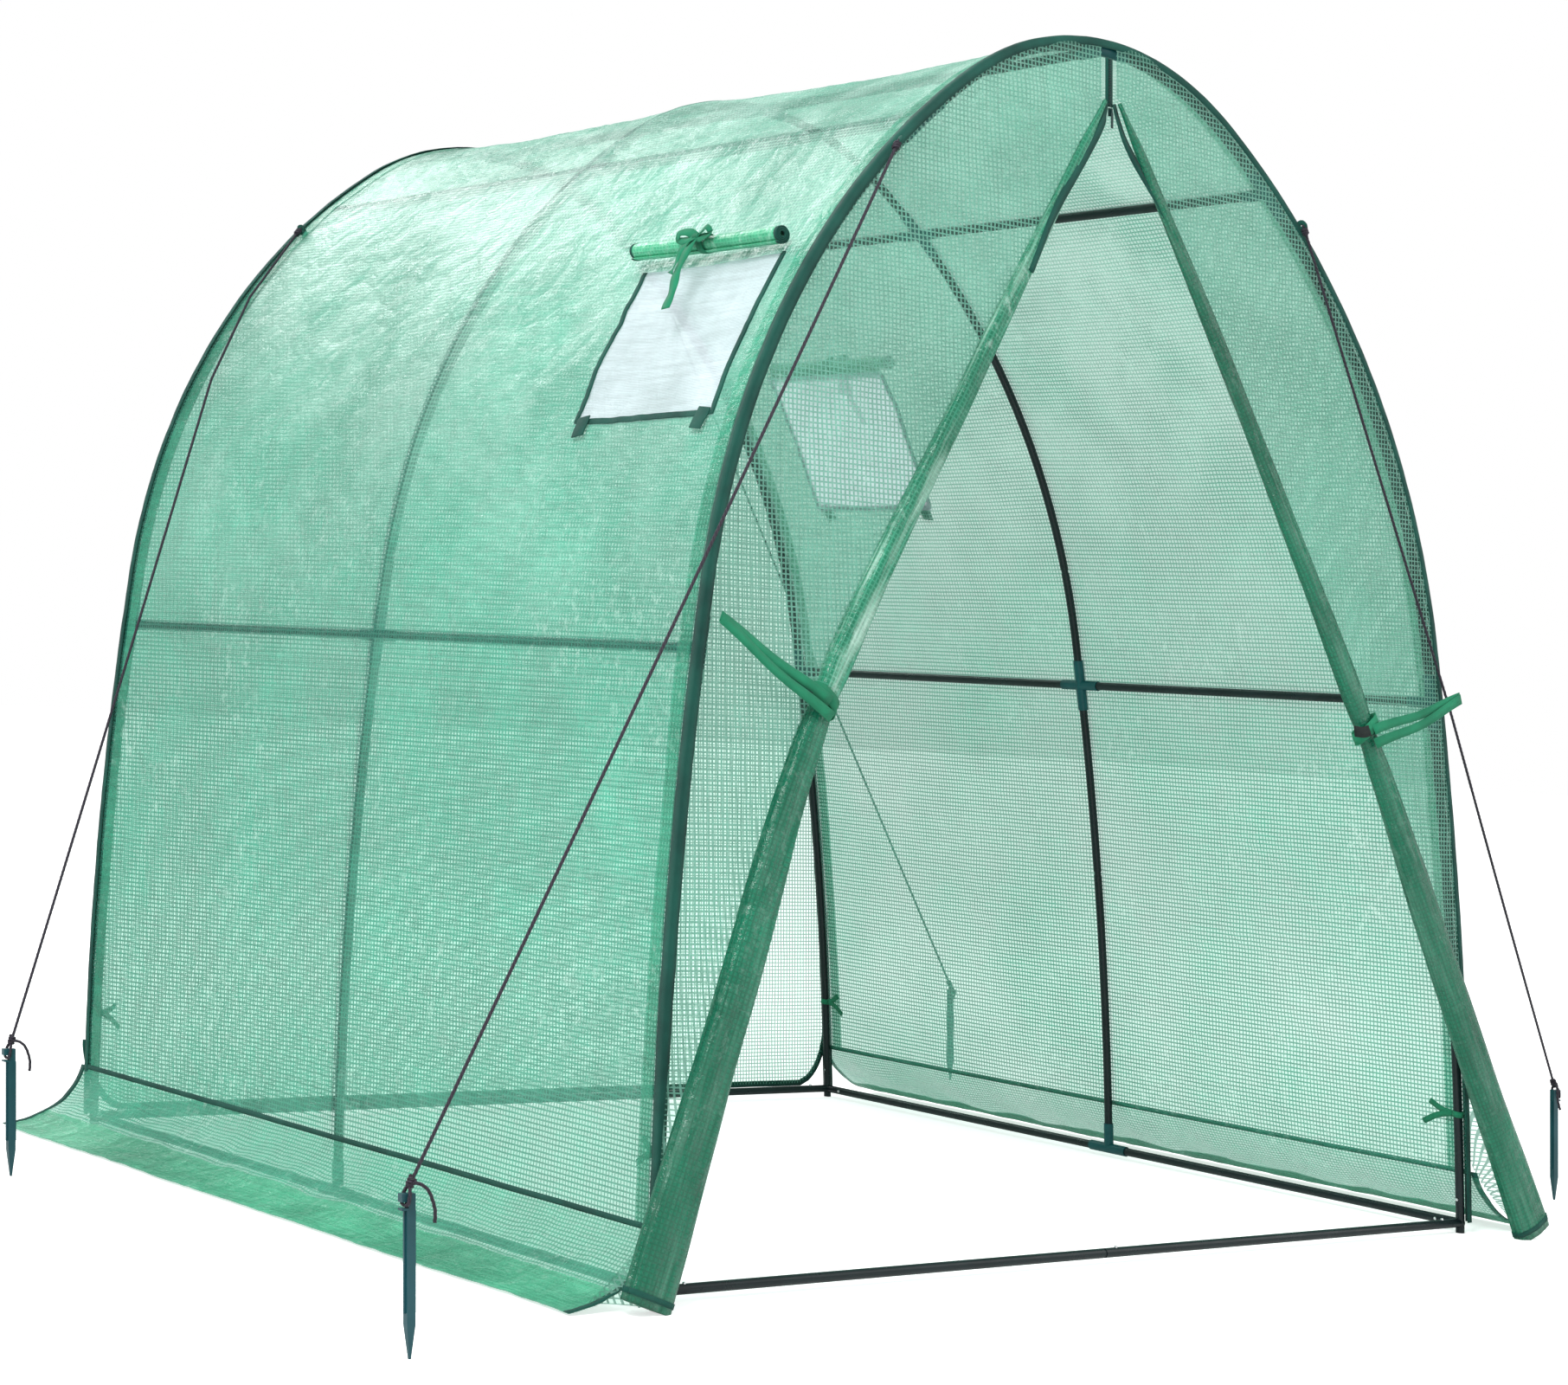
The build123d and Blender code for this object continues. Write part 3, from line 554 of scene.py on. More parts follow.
def ribbon(points, widths, normals, thickness):
    """A closed flat strap along a path: four corners at each point, with ends capped."""
    vertices, faces, weave = [], [], []
    travelled = 0.0
    for i, p in enumerate(points):
        before, after = points[max(0, i - 1)], points[min(len(points) - 1, i + 1)]
        tangent = (after - before).normalized()
        travelled += (p - points[max(0, i - 1)]).length
        across = tangent.cross(normals[i]).normalized() * widths[i] / 2
        up = across.cross(tangent).normalized() * thickness / 2
        for a, b, w in ((-1, -1, 0.0), (1, -1, widths[i]), (1, 1, widths[i]), (-1, 1, 0.0)):
            vertices.append(p + across * a + up * b)
            weave.append((w, travelled))
        if i:
            base = (i - 1) * 4
            for k in range(4):
                faces.append((base + k, base + (k + 1) % 4, base + 4 + (k + 1) % 4, base + 4 + k))
    last = (len(points) - 1) * 4
    faces += [(3, 2, 1, 0), (last, last + 1, last + 2, last + 3)]
    return vertices, faces, weave


def cord(points, radius, around=10, ripple_depth=0.0, lay=0.0):
    """A closed round cord along a path; ripple_depth and lay wind three strands round it."""
    vertices, faces, weave = [], [], []
    travelled = 0.0
    for i, (p, (_, side, up)) in enumerate(zip(points, frames_along(points))):
        travelled += (p - points[max(0, i - 1)]).length
        for k in range(around):
            turn = 2 * math.pi * k / around
            reach = radius
            if lay:
                reach -= ripple_depth * abs(math.sin(1.5 * turn + math.pi * travelled / lay))
            vertices.append(p + side * math.cos(turn) * reach + up * math.sin(turn) * reach)
            weave.append((k / around, travelled))
        if i:
            base = (i - 1) * around
            for k in range(around):
                after = (k + 1) % around
                faces.append((base + k, base + after, base + around + after, base + around + k))
    last = (len(points) - 1) * around
    faces += [tuple(reversed(range(around))), tuple(last + k for k in range(around))]
    return vertices, faces, weave


def curve_through(points, gap):
    """A smooth path through a few points (Catmull-Rom), sampled about every gap."""
    path = []
    ends = [points[0] * 2 - points[1], *points, points[-1] * 2 - points[-2]]
    for a, b, c, d in zip(ends, ends[1:], ends[2:], ends[3:]):
        count = max(1, math.ceil((c - b).length / gap))
        for i in range(count):
            t = i / count
            bend = (2 * a - 5 * b + 4 * c - d) * t**2 + (3 * b - a - 3 * c + d) * t**3
            path.append(0.5 * (2 * b + (c - a) * t + bend))
    return path + [points[-1].copy()]


# ---- the cover ----

COVER_GAP = 0.0118       # from the hoop axis to the cloth, where it lies on a tube or connector
EDGE_Y = HALF_LENGTH + 0.0125
HEM_Z = 0.110
hem_run = run_at_height(HEM_Z)
SUPPORTS = (0.0, UPPER_RUN, MID_RUN, hem_run + 0.02)


def slack(s, y):
    """How loose the cloth is at a point: 0 on a hoop or purlin, 1 in the middle of a bay."""
    between_hoops = abs(math.sin(math.pi * y / HALF_LENGTH))
    left = abs(s)
    for low, high in zip(SUPPORTS, SUPPORTS[1:]):
        if left <= high:
            return between_hoops, math.sin(math.pi * (left - low) / (high - low))
    return between_hoops, 0.0


def cover_gap(s, y):
    """Distance of the cloth from the hoop line: it sags between tubes and wrinkles along the tunnel."""
    hoops, purlins = slack(s, y)
    loose = hoops**0.7 * purlins**0.8
    drape = 0.0070 * ripple((s, 0.45 * y, 0), 0.30, 3.0) + 0.0035 * ripple((s, y + 0.6 * s, 0), 0.085, 9.0)
    pinch = 0.0020 * ripple((s, y, 0), 0.030, 5.0, 2)
    gap = COVER_GAP - 0.018 * loose + (drape + pinch) * (0.10 + 0.90 * hoops * (0.25 + 0.75 * purlins))
    return max(gap, TUBE_R + 0.0012 - 0.10 * min(hoops, purlins))


def cover_point(s, y, lift=0.0):
    x, z, _ = hoop_at(s, cover_gap(s, y) + lift)
    return Vector((x, y, z))


# each window: side of the tunnel, its opening along the tunnel, and its run along the hoop
windows = {}
for name, side in (("left", -1), ("right", 1)):
    low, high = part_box(f"window_screen_{name}")
    windows[name] = (side, low.y + 0.012, high.y - 0.012, run_at_angle(55.4), run_at_angle(68.3))


def in_window(s, y):
    return any(
        top < side * s < bottom and near < y < far
        for side, near, far, top, bottom in windows.values()
    )


run_breaks = [
    -hem_run,
    -windows["left"][4],
    -windows["left"][3],
    0.0,
    windows["right"][3],
    windows["right"][4],
    hem_run,
]
length_breaks = [
    -EDGE_Y, windows["left"][1], windows["left"][2], 0.0, windows["right"][1], windows["right"][2], EDGE_Y
]
runs, lengths = spaced(run_breaks, 0.012), spaced(length_breaks, 0.013)
shape = sheet(runs, lengths, lambda s, y: (cover_point(s, y), (s, y)), lambda s, y: not in_window(s, y))
shape = drop_loose(*shape)
piece("cover_sheet", shape, COVER, "frame", ("cover",))

# double seam strip just behind the front arch and in front of the rear one
for end, sign in (("front", -1), ("rear", 1)):
    strip_y = [sign * (EDGE_Y - 0.020 - 0.006 * i) for i in range(6)]
    shape = sheet(
        spaced([-hem_run, hem_run], 0.012), strip_y, lambda s, y: (cover_point(s, y, 0.0012), (s, y))
    )
    piece(f"{end}_seam_strip", shape, SKIRT, "frame")

# arch bindings: dark tape folded round each end of the cover and onto the end panel
for end, sign in (("front", -1), ("rear", 1)):
    section = (
        (0.0030, -0.0125),
        (0.0034, -0.0050),
        (0.0030, 0.0010),
        (0.0008, 0.0034),
        (-0.0050, 0.0038),
        (-0.0105, 0.0034),
    )

    def folded(s, k):
        lift, out = section[int(k)]
        wave = 0.0007 * ripple((s, 0.0, sign), 0.05, 2.0)
        x, z, _ = hoop_at(s, COVER_GAP + lift + wave)
        return Vector((x, sign * (EDGE_Y + out), z)), (k * 0.007, s)

    shape = sheet(spaced([-hem_run - 0.09, hem_run + 0.09], 0.012), list(range(len(section))), folded)
    made = piece(f"{end}_edge_tape", shape, BINDING, "frame", (f"{end}_arch_binding",))
    thicken(made, 0.0010)


# ---- side hems and ground skirts ----

SKIRT_END = HALF_LENGTH + 0.030
SKIRT_WIDTH = 0.21
skirt_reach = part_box("ground_skirt_right")[1].x - 0.004


def skirt_point(side, t, y):
    """From the hem (t = 0) out to the raw edge on the ground (t = 1), with a soft wavy fall."""
    top = cover_point(side * hem_run, max(-EDGE_Y, min(EDGE_Y, y)), 0.001)
    reach = skirt_reach - 0.010 + 0.008 * ripple((side, y, 0), 0.35, 4.0)
    fall = (1 - t) ** 1.5
    x = abs(top.x) + (reach - abs(top.x)) * (0.35 * t + 0.65 * t * t)
    wave = 0.006 * ripple((t * 0.2, y, side), 0.11, 6.0) * math.sin(math.pi * min(1.0, t * 1.1)) + 0.0025 * t
    z = top.z * fall + wave + 0.0015 * (1 + ripple((t, y, side), 0.04, 8.0, 2)) * t
    return Vector((side * x, y, max(0.0012, z)))


for name, side in (("left", -1), ("right", 1)):
    falls = spaced([0.0, 1.0], 0.06)
    ends = spaced([-SKIRT_END, SKIRT_END], 0.014)
    shape = sheet(falls, ends, lambda t, y: (skirt_point(side, t, y), (t * SKIRT_WIDTH, y)))
    piece(f"skirt_{name}", shape, SKIRT, "frame", (f"ground_skirt_{name}",))

    # selvedge: the denser outer strip, and dark tape across both ends
    def selvedge_point(t, y):
        return skirt_point(side, t, y) + Vector((0, 0, 0.0012)), (t * SKIRT_WIDTH, y)

    shape = sheet(spaced([0.62, 1.0], 0.06), ends, selvedge_point)
    piece(f"skirt_selvedge_{name}", shape, SELVEDGE, "frame")
    for end, sign in (("front", -1), ("rear", 1)):

        def tape_point(t, y):
            return skirt_point(side, t, y) + Vector((0, 0, 0.0016)), (y, t * SKIRT_WIDTH)

        shape = sheet(falls, [sign * (SKIRT_END - 0.014), sign * SKIRT_END], tape_point)
        made = piece(f"skirt_tape_{end}_{name}", shape, BINDING, "frame")
        thicken(made, 0.0012)

hem_rows = [-0.0045, -0.0022, 0.0, 0.0022, 0.0045]
for name, side in (("left", -1), ("right", 1)):

    def hem_point(row, y):
        bulge = 0.0032 - 60.0 * row * row
        return cover_point(side * (hem_run + row), y, bulge), (row, y)

    shape = sheet(hem_rows, spaced([-EDGE_Y, EDGE_Y], 0.014), hem_point)
    made = piece(f"hem_tape_{name}", shape, BINDING, "frame")
    thicken(made, 0.0010)
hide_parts("side_hems")


# ---- rear panel ----

PANEL_Y = EDGE_Y + 0.0016
PANEL_GAP = COVER_GAP - 0.0006
PANEL_FOOT = 0.030


def panel_half_width(z):
    """Half width of an end panel at a height; the rear one's lower corners are cut back."""
    if z > CROWN_Z + PANEL_GAP - 1e-6:
        return 0.0
    if z > crown_centre[1] + CROWN_RADIUS * math.cos(math.radians(CROWN_ANGLE)):
        return math.sqrt(max(0.0, (CROWN_RADIUS + PANEL_GAP) ** 2 - (z - crown_centre[1]) ** 2))
    if z > leg_top[1]:
        return shoulder_centre[0] + math.sqrt(
            (SHOULDER_RADIUS + PANEL_GAP) ** 2 - (z - shoulder_centre[1]) ** 2
        )
    return leg_centre[0] + math.sqrt((LEG_RADIUS + PANEL_GAP) ** 2 - (z - leg_centre[1]) ** 2)


def corner_cut(z):
    """Width lost from each lower corner of the rear panel, along a rounded cut."""
    t = min(1.0, max(0.0, (0.150 - z) / (0.150 - PANEL_FOOT)))
    return 0.075 * (1 - math.sqrt(1 - t * t * 0.98)) + 0.012 * t


def panel_wave(x, z, side):
    loose = min(1.0, 6 * (panel_half_width(z) - abs(x)))
    long_folds = 0.005 * ripple((x, 0.4 * z, side), 0.22, 12.0)
    small_folds = 0.0018 * ripple((x, z, side), 0.06, 2.0)
    return (long_folds + small_folds) * max(0.0, loose)


arch_heights = [
    hoop_at(s, PANEL_GAP)[1] for s in spaced([0.0, run_at_angle(CROWN_ANGLE), run_at_height(1.0)], 0.018)
]
heights = sorted(set(arch_heights + spaced([PANEL_FOOT, arch_heights[-1]], 0.022)))
fractions = spaced([-1.0, 1.0], 0.024)


def rear_point(z, f):
    x = f * (panel_half_width(z) - corner_cut(z))
    return Vector((x, PANEL_Y + 0.004 + max(-0.003, panel_wave(x, z, 1)), z)), (x, z)


shape = sheet(heights, fractions, rear_point)
piece("rear_end_panel", shape, PANEL, "frame", ("rear_panel",))
low_heights = spaced([PANEL_FOOT, 0.16], 0.010)
edge_path = [rear_point(z, -1.0)[0] for z in reversed(low_heights)]
edge_path += [rear_point(PANEL_FOOT, f)[0] for f in fractions] + [rear_point(z, 1.0)[0] for z in low_heights]
edge_path = [p + Vector((0, 0.0012, 0)) for p in edge_path]
shape = ribbon(edge_path, [0.013] * len(edge_path), [Vector((0, 1, 0))] * len(edge_path), 0.002)
piece("rear_panel_tape", shape, BINDING, "frame")


# ---- door flaps ----

joints = {j["name"]: j for j in frame["joints"]}
door_joint = joints["door_left_swing"]
pivot = Vector(door_joint["pos_m"])
ROLL_TOP_Y, ROLL_TIE_Y = -HALF_LENGTH - 0.030, -HALF_LENGTH - 0.038
ROLL_TOP_Z = 1.895
# side: (sign, tie X and Z, foot X and Y)
DOORS = {"left": (-1, 0.620, 0.890, 0.965, -0.957), "right": (1, 0.600, 0.900, 0.995, -0.985)}
# height, width and thickness of a rolled flap
ROLL_SIZES = (
    (ROLL_TOP_Z, 0.007, 0.006),
    (1.80, 0.020, 0.014),
    (1.45, 0.034, 0.022),
    (0.89, 0.047, 0.030),
    (0.50, 0.068, 0.036),
    (0.0, 0.088, 0.042),
)


def roll_path(side, tie_x, tie_z, foot_x, foot_y):
    """The middle line of a rolled flap, from the zip through its tie to its foot."""
    keys = [
        Vector((side * 0.016, ROLL_TOP_Y + 0.006, ROLL_TOP_Z - 0.002)),
        Vector((
            side * (tie_x * 0.47 + 0.014), (ROLL_TOP_Y + ROLL_TIE_Y) / 2, 0.47 * tie_z + 0.53 * ROLL_TOP_Z
        )),
        Vector((side * tie_x, ROLL_TIE_Y, tie_z)),
        Vector((side * (0.5 * tie_x + 0.5 * foot_x + 0.004), (ROLL_TIE_Y + foot_y) / 2, tie_z * 0.5)),
        Vector((side * foot_x, foot_y, 0.010)),
    ]
    return curve_through(keys, 0.016)


def size_at(z):
    """Width and thickness of a rolled flap at a height."""
    for (high, wide, thick), (low, wide_low, thick_low) in zip(ROLL_SIZES, ROLL_SIZES[1:]):
        if z >= low:
            t = smooth((high - z) / (high - low))
            return wide + (wide_low - wide) * t, thick + (thick_low - thick) * t
    return ROLL_SIZES[-1][1:]


AROUND = 40              # points round a roll


def squareness(c, s):
    """How far a flattened section reaches past a circle in a direction given by its cosine and sine."""
    return (abs(c) ** 2.6 + abs(s) ** 2.6) ** (-1 / 2.6)


def flattened_roll(path, side, seed, travelled=0.0):
    """A rolled-up flap: a flattened tube with long folds and the loose edge of the cloth standing proud."""
    vertices, faces, weave = [], [], []
    for i, p in enumerate(path):
        before, after = path[max(0, i - 1)], path[min(len(path) - 1, i + 1)]
        tangent = (after - before).normalized()
        travelled += (p - before).length if i else 0.0
        across = Vector((-tangent.z, 0, tangent.x)).normalized() * (1 if side > 0 else -1)
        front = Vector((0, -1, 0))
        wide, thick = size_at(p.z)
        tie_pinch = 1 - 0.16 * math.exp(-(((p.z - 0.89) / 0.035) ** 2))
        for k in range(AROUND):
            turn = 2 * math.pi * k / AROUND
            c, s = math.cos(turn), math.sin(turn)
            square = squareness(c, s)
            fold = 1 + 0.13 * ripple((1.2 * c, 1.2 * s, travelled * 0.9), 0.9, seed, 2)
            fold += 0.07 * ripple((2.2 * c, 2.2 * s, travelled * 4.0), 0.8, seed + 4, 2)
            past = turn - 2.2
            lap = 0.10 * (smooth(1 + past / 0.10) if past < 0 else math.exp(-1.2 * past))
            reach = square * (fold + lap) * tie_pinch * 0.93
            vertices.append(p + across * (c * wide / 2 * reach) + front * (s * thick / 2 * reach))
            weave.append((k / AROUND * (wide + thick) * 2.0, travelled))
        if i:
            base = (i - 1) * AROUND
            for k in range(AROUND):
                n = (k + 1) % AROUND
                faces.append((base + k, base + n, base + AROUND + n, base + AROUND + k))
    last = (len(path) - 1) * AROUND
    faces += [tuple(reversed(range(AROUND))), tuple(last + k for k in range(AROUND))]
    return vertices, faces, weave


def panel_inner(bends, z):
    """Point at a height on the straight lines from a roll's top to its tie and its foot."""
    for high, low in zip(bends, bends[1:]):
        if high.z >= z >= low.z:
            return high.lerp(low, (high.z - z) / (high.z - low.z))
    return bends[0] if z > bends[0].z else bends[-1]


STRIP = 0.010
DOOR_SWING = math.radians(door_joint["range_deg"][1])
for name, (side, tie_x, tie_z, foot_x, foot_y) in DOORS.items():
    body = f"door_{name}"
    path = roll_path(side, tie_x, tie_z, foot_x, foot_y)
    bends = [path[0], Vector((side * tie_x, ROLL_TIE_Y, tie_z)), path[-1]]
    tied_at = min(range(len(path)), key=lambda i: abs(path[i].z - tie_z))
    seed = 3.0 if side < 0 else 11.0
    shape = flattened_roll(path[: tied_at + 1], side, seed)
    top_finish = LOOSE_ROLL if side < 0 else ROLLED
    piece(f"door_roll_top_{name}", shape, top_finish, body, (f"door_roll_{name}",))
    shape = flattened_roll(path[tied_at:], side, seed, (path[tied_at] - path[0]).length)
    foot = piece(f"door_roll_foot_{name}", shape, ROLLED, body)

    # the flap's bound bottom edge shows where the roll ends
    rim = shape[0][-2 * AROUND : -AROUND]
    rim.append(rim[0])
    middle = sum(rim[:-1], Vector()) / AROUND
    hem_shape = ribbon(rim, [0.009] * len(rim), [v - middle for v in rim], 0.0030)
    hem = piece(f"door_roll_hem_{name}", hem_shape, BINDING, body)

    # swung right in, the roll would reach below the ground: how much of its lower half stays above it is worked
    # out, and its foot and hem get meshes of their own
    swung = Matrix.Rotation(-side * DOOR_SWING, 3, "Y")
    lower = bends[2] - bends[1]
    tie_swung = pivot + swung @ (bends[1] - pivot)
    gathered = (tie_swung.z - path[-1].z) / -(swung @ lower).z
    for gathers in (foot, hem):
        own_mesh(gathers)

    def front_point(z, t):
        """t = 0 on the arch or skirt end, t = 1 beside the roll's middle line."""
        inner = panel_inner(bends, z)
        if z >= bends[0].z:
            inner = Vector((side * 0.007, -PANEL_Y - 0.002, z))
        outer_x = max(panel_half_width(z), 0.0072)
        flare = max(0.0, (HEM_Z + 0.02 - z) / (HEM_Z + 0.02))
        outer_x += 0.14 * flare**1.3
        x = outer_x + (abs(inner.x) + STRIP - outer_x) * t
        y = -PANEL_Y - 0.002 + (inner.y + PANEL_Y + 0.002) * t * t
        loose = math.sin(math.pi * t) * min(1.0, abs(outer_x - abs(inner.x)) * 5)
        crease = 0.007 * ripple((x + 0.4 * z, 0.25 * z, side), 0.16, 7.0)
        crease += 0.002 * ripple((x, z, side), 0.05, 3.0, 2)
        return Vector((side * x, min(-PANEL_Y - 0.001, y + crease * loose), z)), (x, z)

    rows = sorted(set(arch_heights + spaced([0.012, arch_heights[-1]], 0.020)))
    shape = sheet(rows, spaced([0.0, 1.0], 0.045), front_point)
    piece(f"front_end_panel_{name}", shape, PANEL, "frame", (f"front_panel_{name}",))

    # the cloth still on the roll: a narrow strip beside it, from its top down past its tie
    grounded = bends[1].lerp(bends[2], min(1.0, gathered))
    for part, top, bottom in (("upper", bends[0], bends[1]), ("lower", bends[1], grounded)):

        def strip_point(z, d):
            middle = panel_inner(bends, z)
            return Vector((middle.x + side * d, middle.y, z)), (d, z)

        shape = sheet(spaced([bottom.z, top.z], 0.04), [STRIP, 0.0], strip_point)
        strip = piece(f"drawn_flap_{part}_{name}", shape, PANEL, None)
        slope = (top - bottom).normalized()
        out = Vector((side * slope.z, 0.0, -side * slope.x))
        start, end = bottom + out * STRIP * 0.7, bottom + out * STRIP * 0.2
        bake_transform(strip)

# ---- zip: a closed stretch under the crown, its slider, and the open tapes along the flaps ----

slider_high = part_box("zip_slider")[1]
tape_low, tape_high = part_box("zip_closed_tape")
zip_y = tape_low.y
ZIP_HALF = 0.008         # half width of the closed tape


def zip_point(z, x):
    """The closed tape bulges a little along its teeth."""
    return Vector((x, zip_y - 0.0012 * (1 - abs(x) / ZIP_HALF), z)), (x, z)


shape = sheet(spaced([tape_low.z, tape_high.z], 0.004), spaced([-ZIP_HALF, ZIP_HALF], 0.004), zip_point)
made = piece("zip_tape_closed", shape, BINDING, "frame", ("zip_closed_tape",))
thicken(made, 0.0008)


def box_at(middle, size, vertices, faces):
    """Adds the eight corners and six faces of a small block."""
    first = len(vertices)
    for dx in (-0.5, 0.5):
        for dy in (-0.5, 0.5):
            for dz in (-0.5, 0.5):
                vertices.append(middle + Vector((dx * size[0], dy * size[1], dz * size[2])))
    for a, b, c, d in ((0, 1, 3, 2), (4, 6, 7, 5), (0, 4, 5, 1), (2, 3, 7, 6), (0, 2, 6, 4), (1, 5, 7, 3)):
        faces.append((first + a, first + b, first + c, first + d))


def rounded(obj, width):
    bevel = obj.modifiers.new("rounding", "BEVEL")
    bevel.width = width
    bevel.segments = 2
    bevel.limit_method = "ANGLE"


vertices, faces = [], []
TOOTH_GAP = 0.0028
for i in range(int((tape_high.z - tape_low.z) / TOOTH_GAP)):
    z = tape_low.z + TOOTH_GAP / 2 + i * TOOTH_GAP
    box_at(Vector((0.0009 * (-1) ** i, zip_y - 0.0022, z)), (0.0046, 0.0018, 0.0017), vertices, faces)
piece("zip_teeth", (vertices, faces, None), ZIP_PLASTIC, "frame", smooth_shade=False)

vertices, faces = [], []
body_z = slider_high.z - 0.007
box_at(Vector((0, zip_y - 0.0034, body_z)), (0.0088, 0.0030, 0.0135), vertices, faces)
box_at(Vector((0, zip_y - 0.0062, body_z + 0.001)), (0.0030, 0.0030, 0.0080), vertices, faces)
box_at(Vector((0, zip_y - 0.0072, body_z - 0.014)), (0.0052, 0.0014, 0.0250), vertices, faces)
block = (vertices, faces, None)
pull = piece("zip_pull", block, ZIP_PLASTIC, "zip_slider", ("zip_slider",), False)
rounded(pull, 0.0006)

for name, (side, tie_x, tie_z, _, _) in DOORS.items():
    # the open tape curls off the slider and runs down the inner edge of the roll
    top = Vector((side * 0.0095, zip_y - 0.002, 1.892))
    low = Vector((side * (tie_x * 0.20 + 0.012), ROLL_TOP_Y - 0.006, 1.70))
    if side < 0:
        keys = [top, Vector((-0.020, zip_y - 0.008, 1.872)), Vector((-0.040, zip_y - 0.014, 1.835)), low]
        keys.append(low + Vector((-0.060, -0.004, -0.11)))
    else:
        keys = [
            top,
            Vector((0.019, zip_y - 0.004, 1.862)),
            Vector((0.040, zip_y - 0.010, 1.815)),
            low + Vector((0, 0.004, 0)),
        ]
    path = curve_through(keys, 0.008)
    widths = [0.010 + 0.005 * math.sin(math.pi * min(1.0, i / len(path) * 1.3)) for i in range(len(path))]
    normals = [Vector((0.25 * side, -1, 0.15 * math.sin(i * 0.35))) for i in range(len(path))]
    shape = ribbon(path, widths, normals, 0.0012)
    piece(f"zip_open_tape_{name}", shape, BINDING, f"door_{name}", (f"zip_tape_{name}",))


# ---- door straps ----

for name, (side, tie_x, tie_z, foot_x, _) in DOORS.items():
    strap_low, strap_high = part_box(f"door_strap_{name}")
    inner = Vector(joints[f"door_strap_{name}_drop"]["pos_m"])
    outer_x = strap_low.x if side < 0 else strap_high.x
    outer = Vector((outer_x - side * 0.004, inner.y, strap_high.z - 0.016))
    # the strap is one loop: its second layer hangs a little slack below the first
    layers = (
        ("", inner, outer, 0.002),
        ("_second", inner + Vector((0, -0.004, -0.024)), outer + Vector((0, -0.003, -0.003)), 0.006),
    )
    count = 16
    for layer, start, end, sag in layers:
        path, normals, widths = [], [], []
        for i in range(count + 1):
            t = i / count
            p = start.lerp(end, t)
            p.z += -sag * math.sin(math.pi * t) + 0.0015 * math.sin(9 * t)
            p.y -= 0.003 * math.sin(math.pi * t)
            path.append(p)
            normals.append(Vector((0.1 * math.sin(4 * t), -1, 0.30 * math.sin(2.6 * t + side))))
            widths.append(0.018 - 0.003 * math.sin(math.pi * t))
        shape = ribbon(path, widths, normals, 0.0016)
        stands_in = () if layer else (f"door_strap_{name}",)
        piece(f"strap_{name}{layer}", shape, STRAP, f"door_strap_{name}", stands_in)

    # the band round the roll, which the strap is stitched to
    lean = math.atan2(foot_x - tie_x, tie_z) * 0.5 + math.atan2(tie_x - 0.028, ROLL_TOP_Z - tie_z) * 0.5
    centre = Vector((side * tie_x, ROLL_TIE_Y, tie_z))
    across = Vector((side * math.cos(lean), 0, math.sin(lean)))
    ring, ring_normals = [], []
    for k in range(33):
        turn = 2 * math.pi * k / 32
        c, s = math.cos(turn), math.sin(turn)
        square = squareness(c, s)
        arm = across * c * 0.0245 * square + Vector((0, -1, 0)) * s * 0.0165 * square
        ring.append(centre + arm + Vector((0, 0, 0.010 * math.sin(turn + 0.8))))
        ring_normals.append(across * c / 0.0245 + Vector((0, -1, 0)) * s / 0.0165)
    shape = ribbon(ring, [0.021] * 33, ring_normals, 0.0016)
    piece(f"roll_band_{name}", shape, STRAP, f"door_{name}")
    # loose end with its black fastener
    start = centre + Vector((-side * 0.010, -0.0180, 0.004 - 0.006 * side))
    if side > 0:
        loose = [start, start + Vector((-0.020, -0.003, -0.004)), start + Vector((-0.040, -0.001, -0.003))]
    else:
        start = centre + Vector((-0.030, -0.016, 0.022))
        loose = [
            start,
            start + Vector((-0.022, -0.004, -0.004)),
            start + Vector((-0.050, -0.002, 0.010)),
            start + Vector((-0.072, 0.002, 0.030)),
        ]
    path = curve_through(loose, 0.006)
    shape = ribbon(path, [0.019] * len(path), [Vector((0, -1, 0.2))] * len(path), 0.0022)
    piece(f"strap_fastener_{name}", shape, PATCH if side > 0 else BINDING, f"door_{name}")


# ---- windows ----


def wall_point(side, s, y, lift):
    """A point off the wall at a distance down the hoop."""
    x, z, _ = hoop_at(side * s, cover_gap(side * s, y) + lift)
    return Vector((x, y, z))


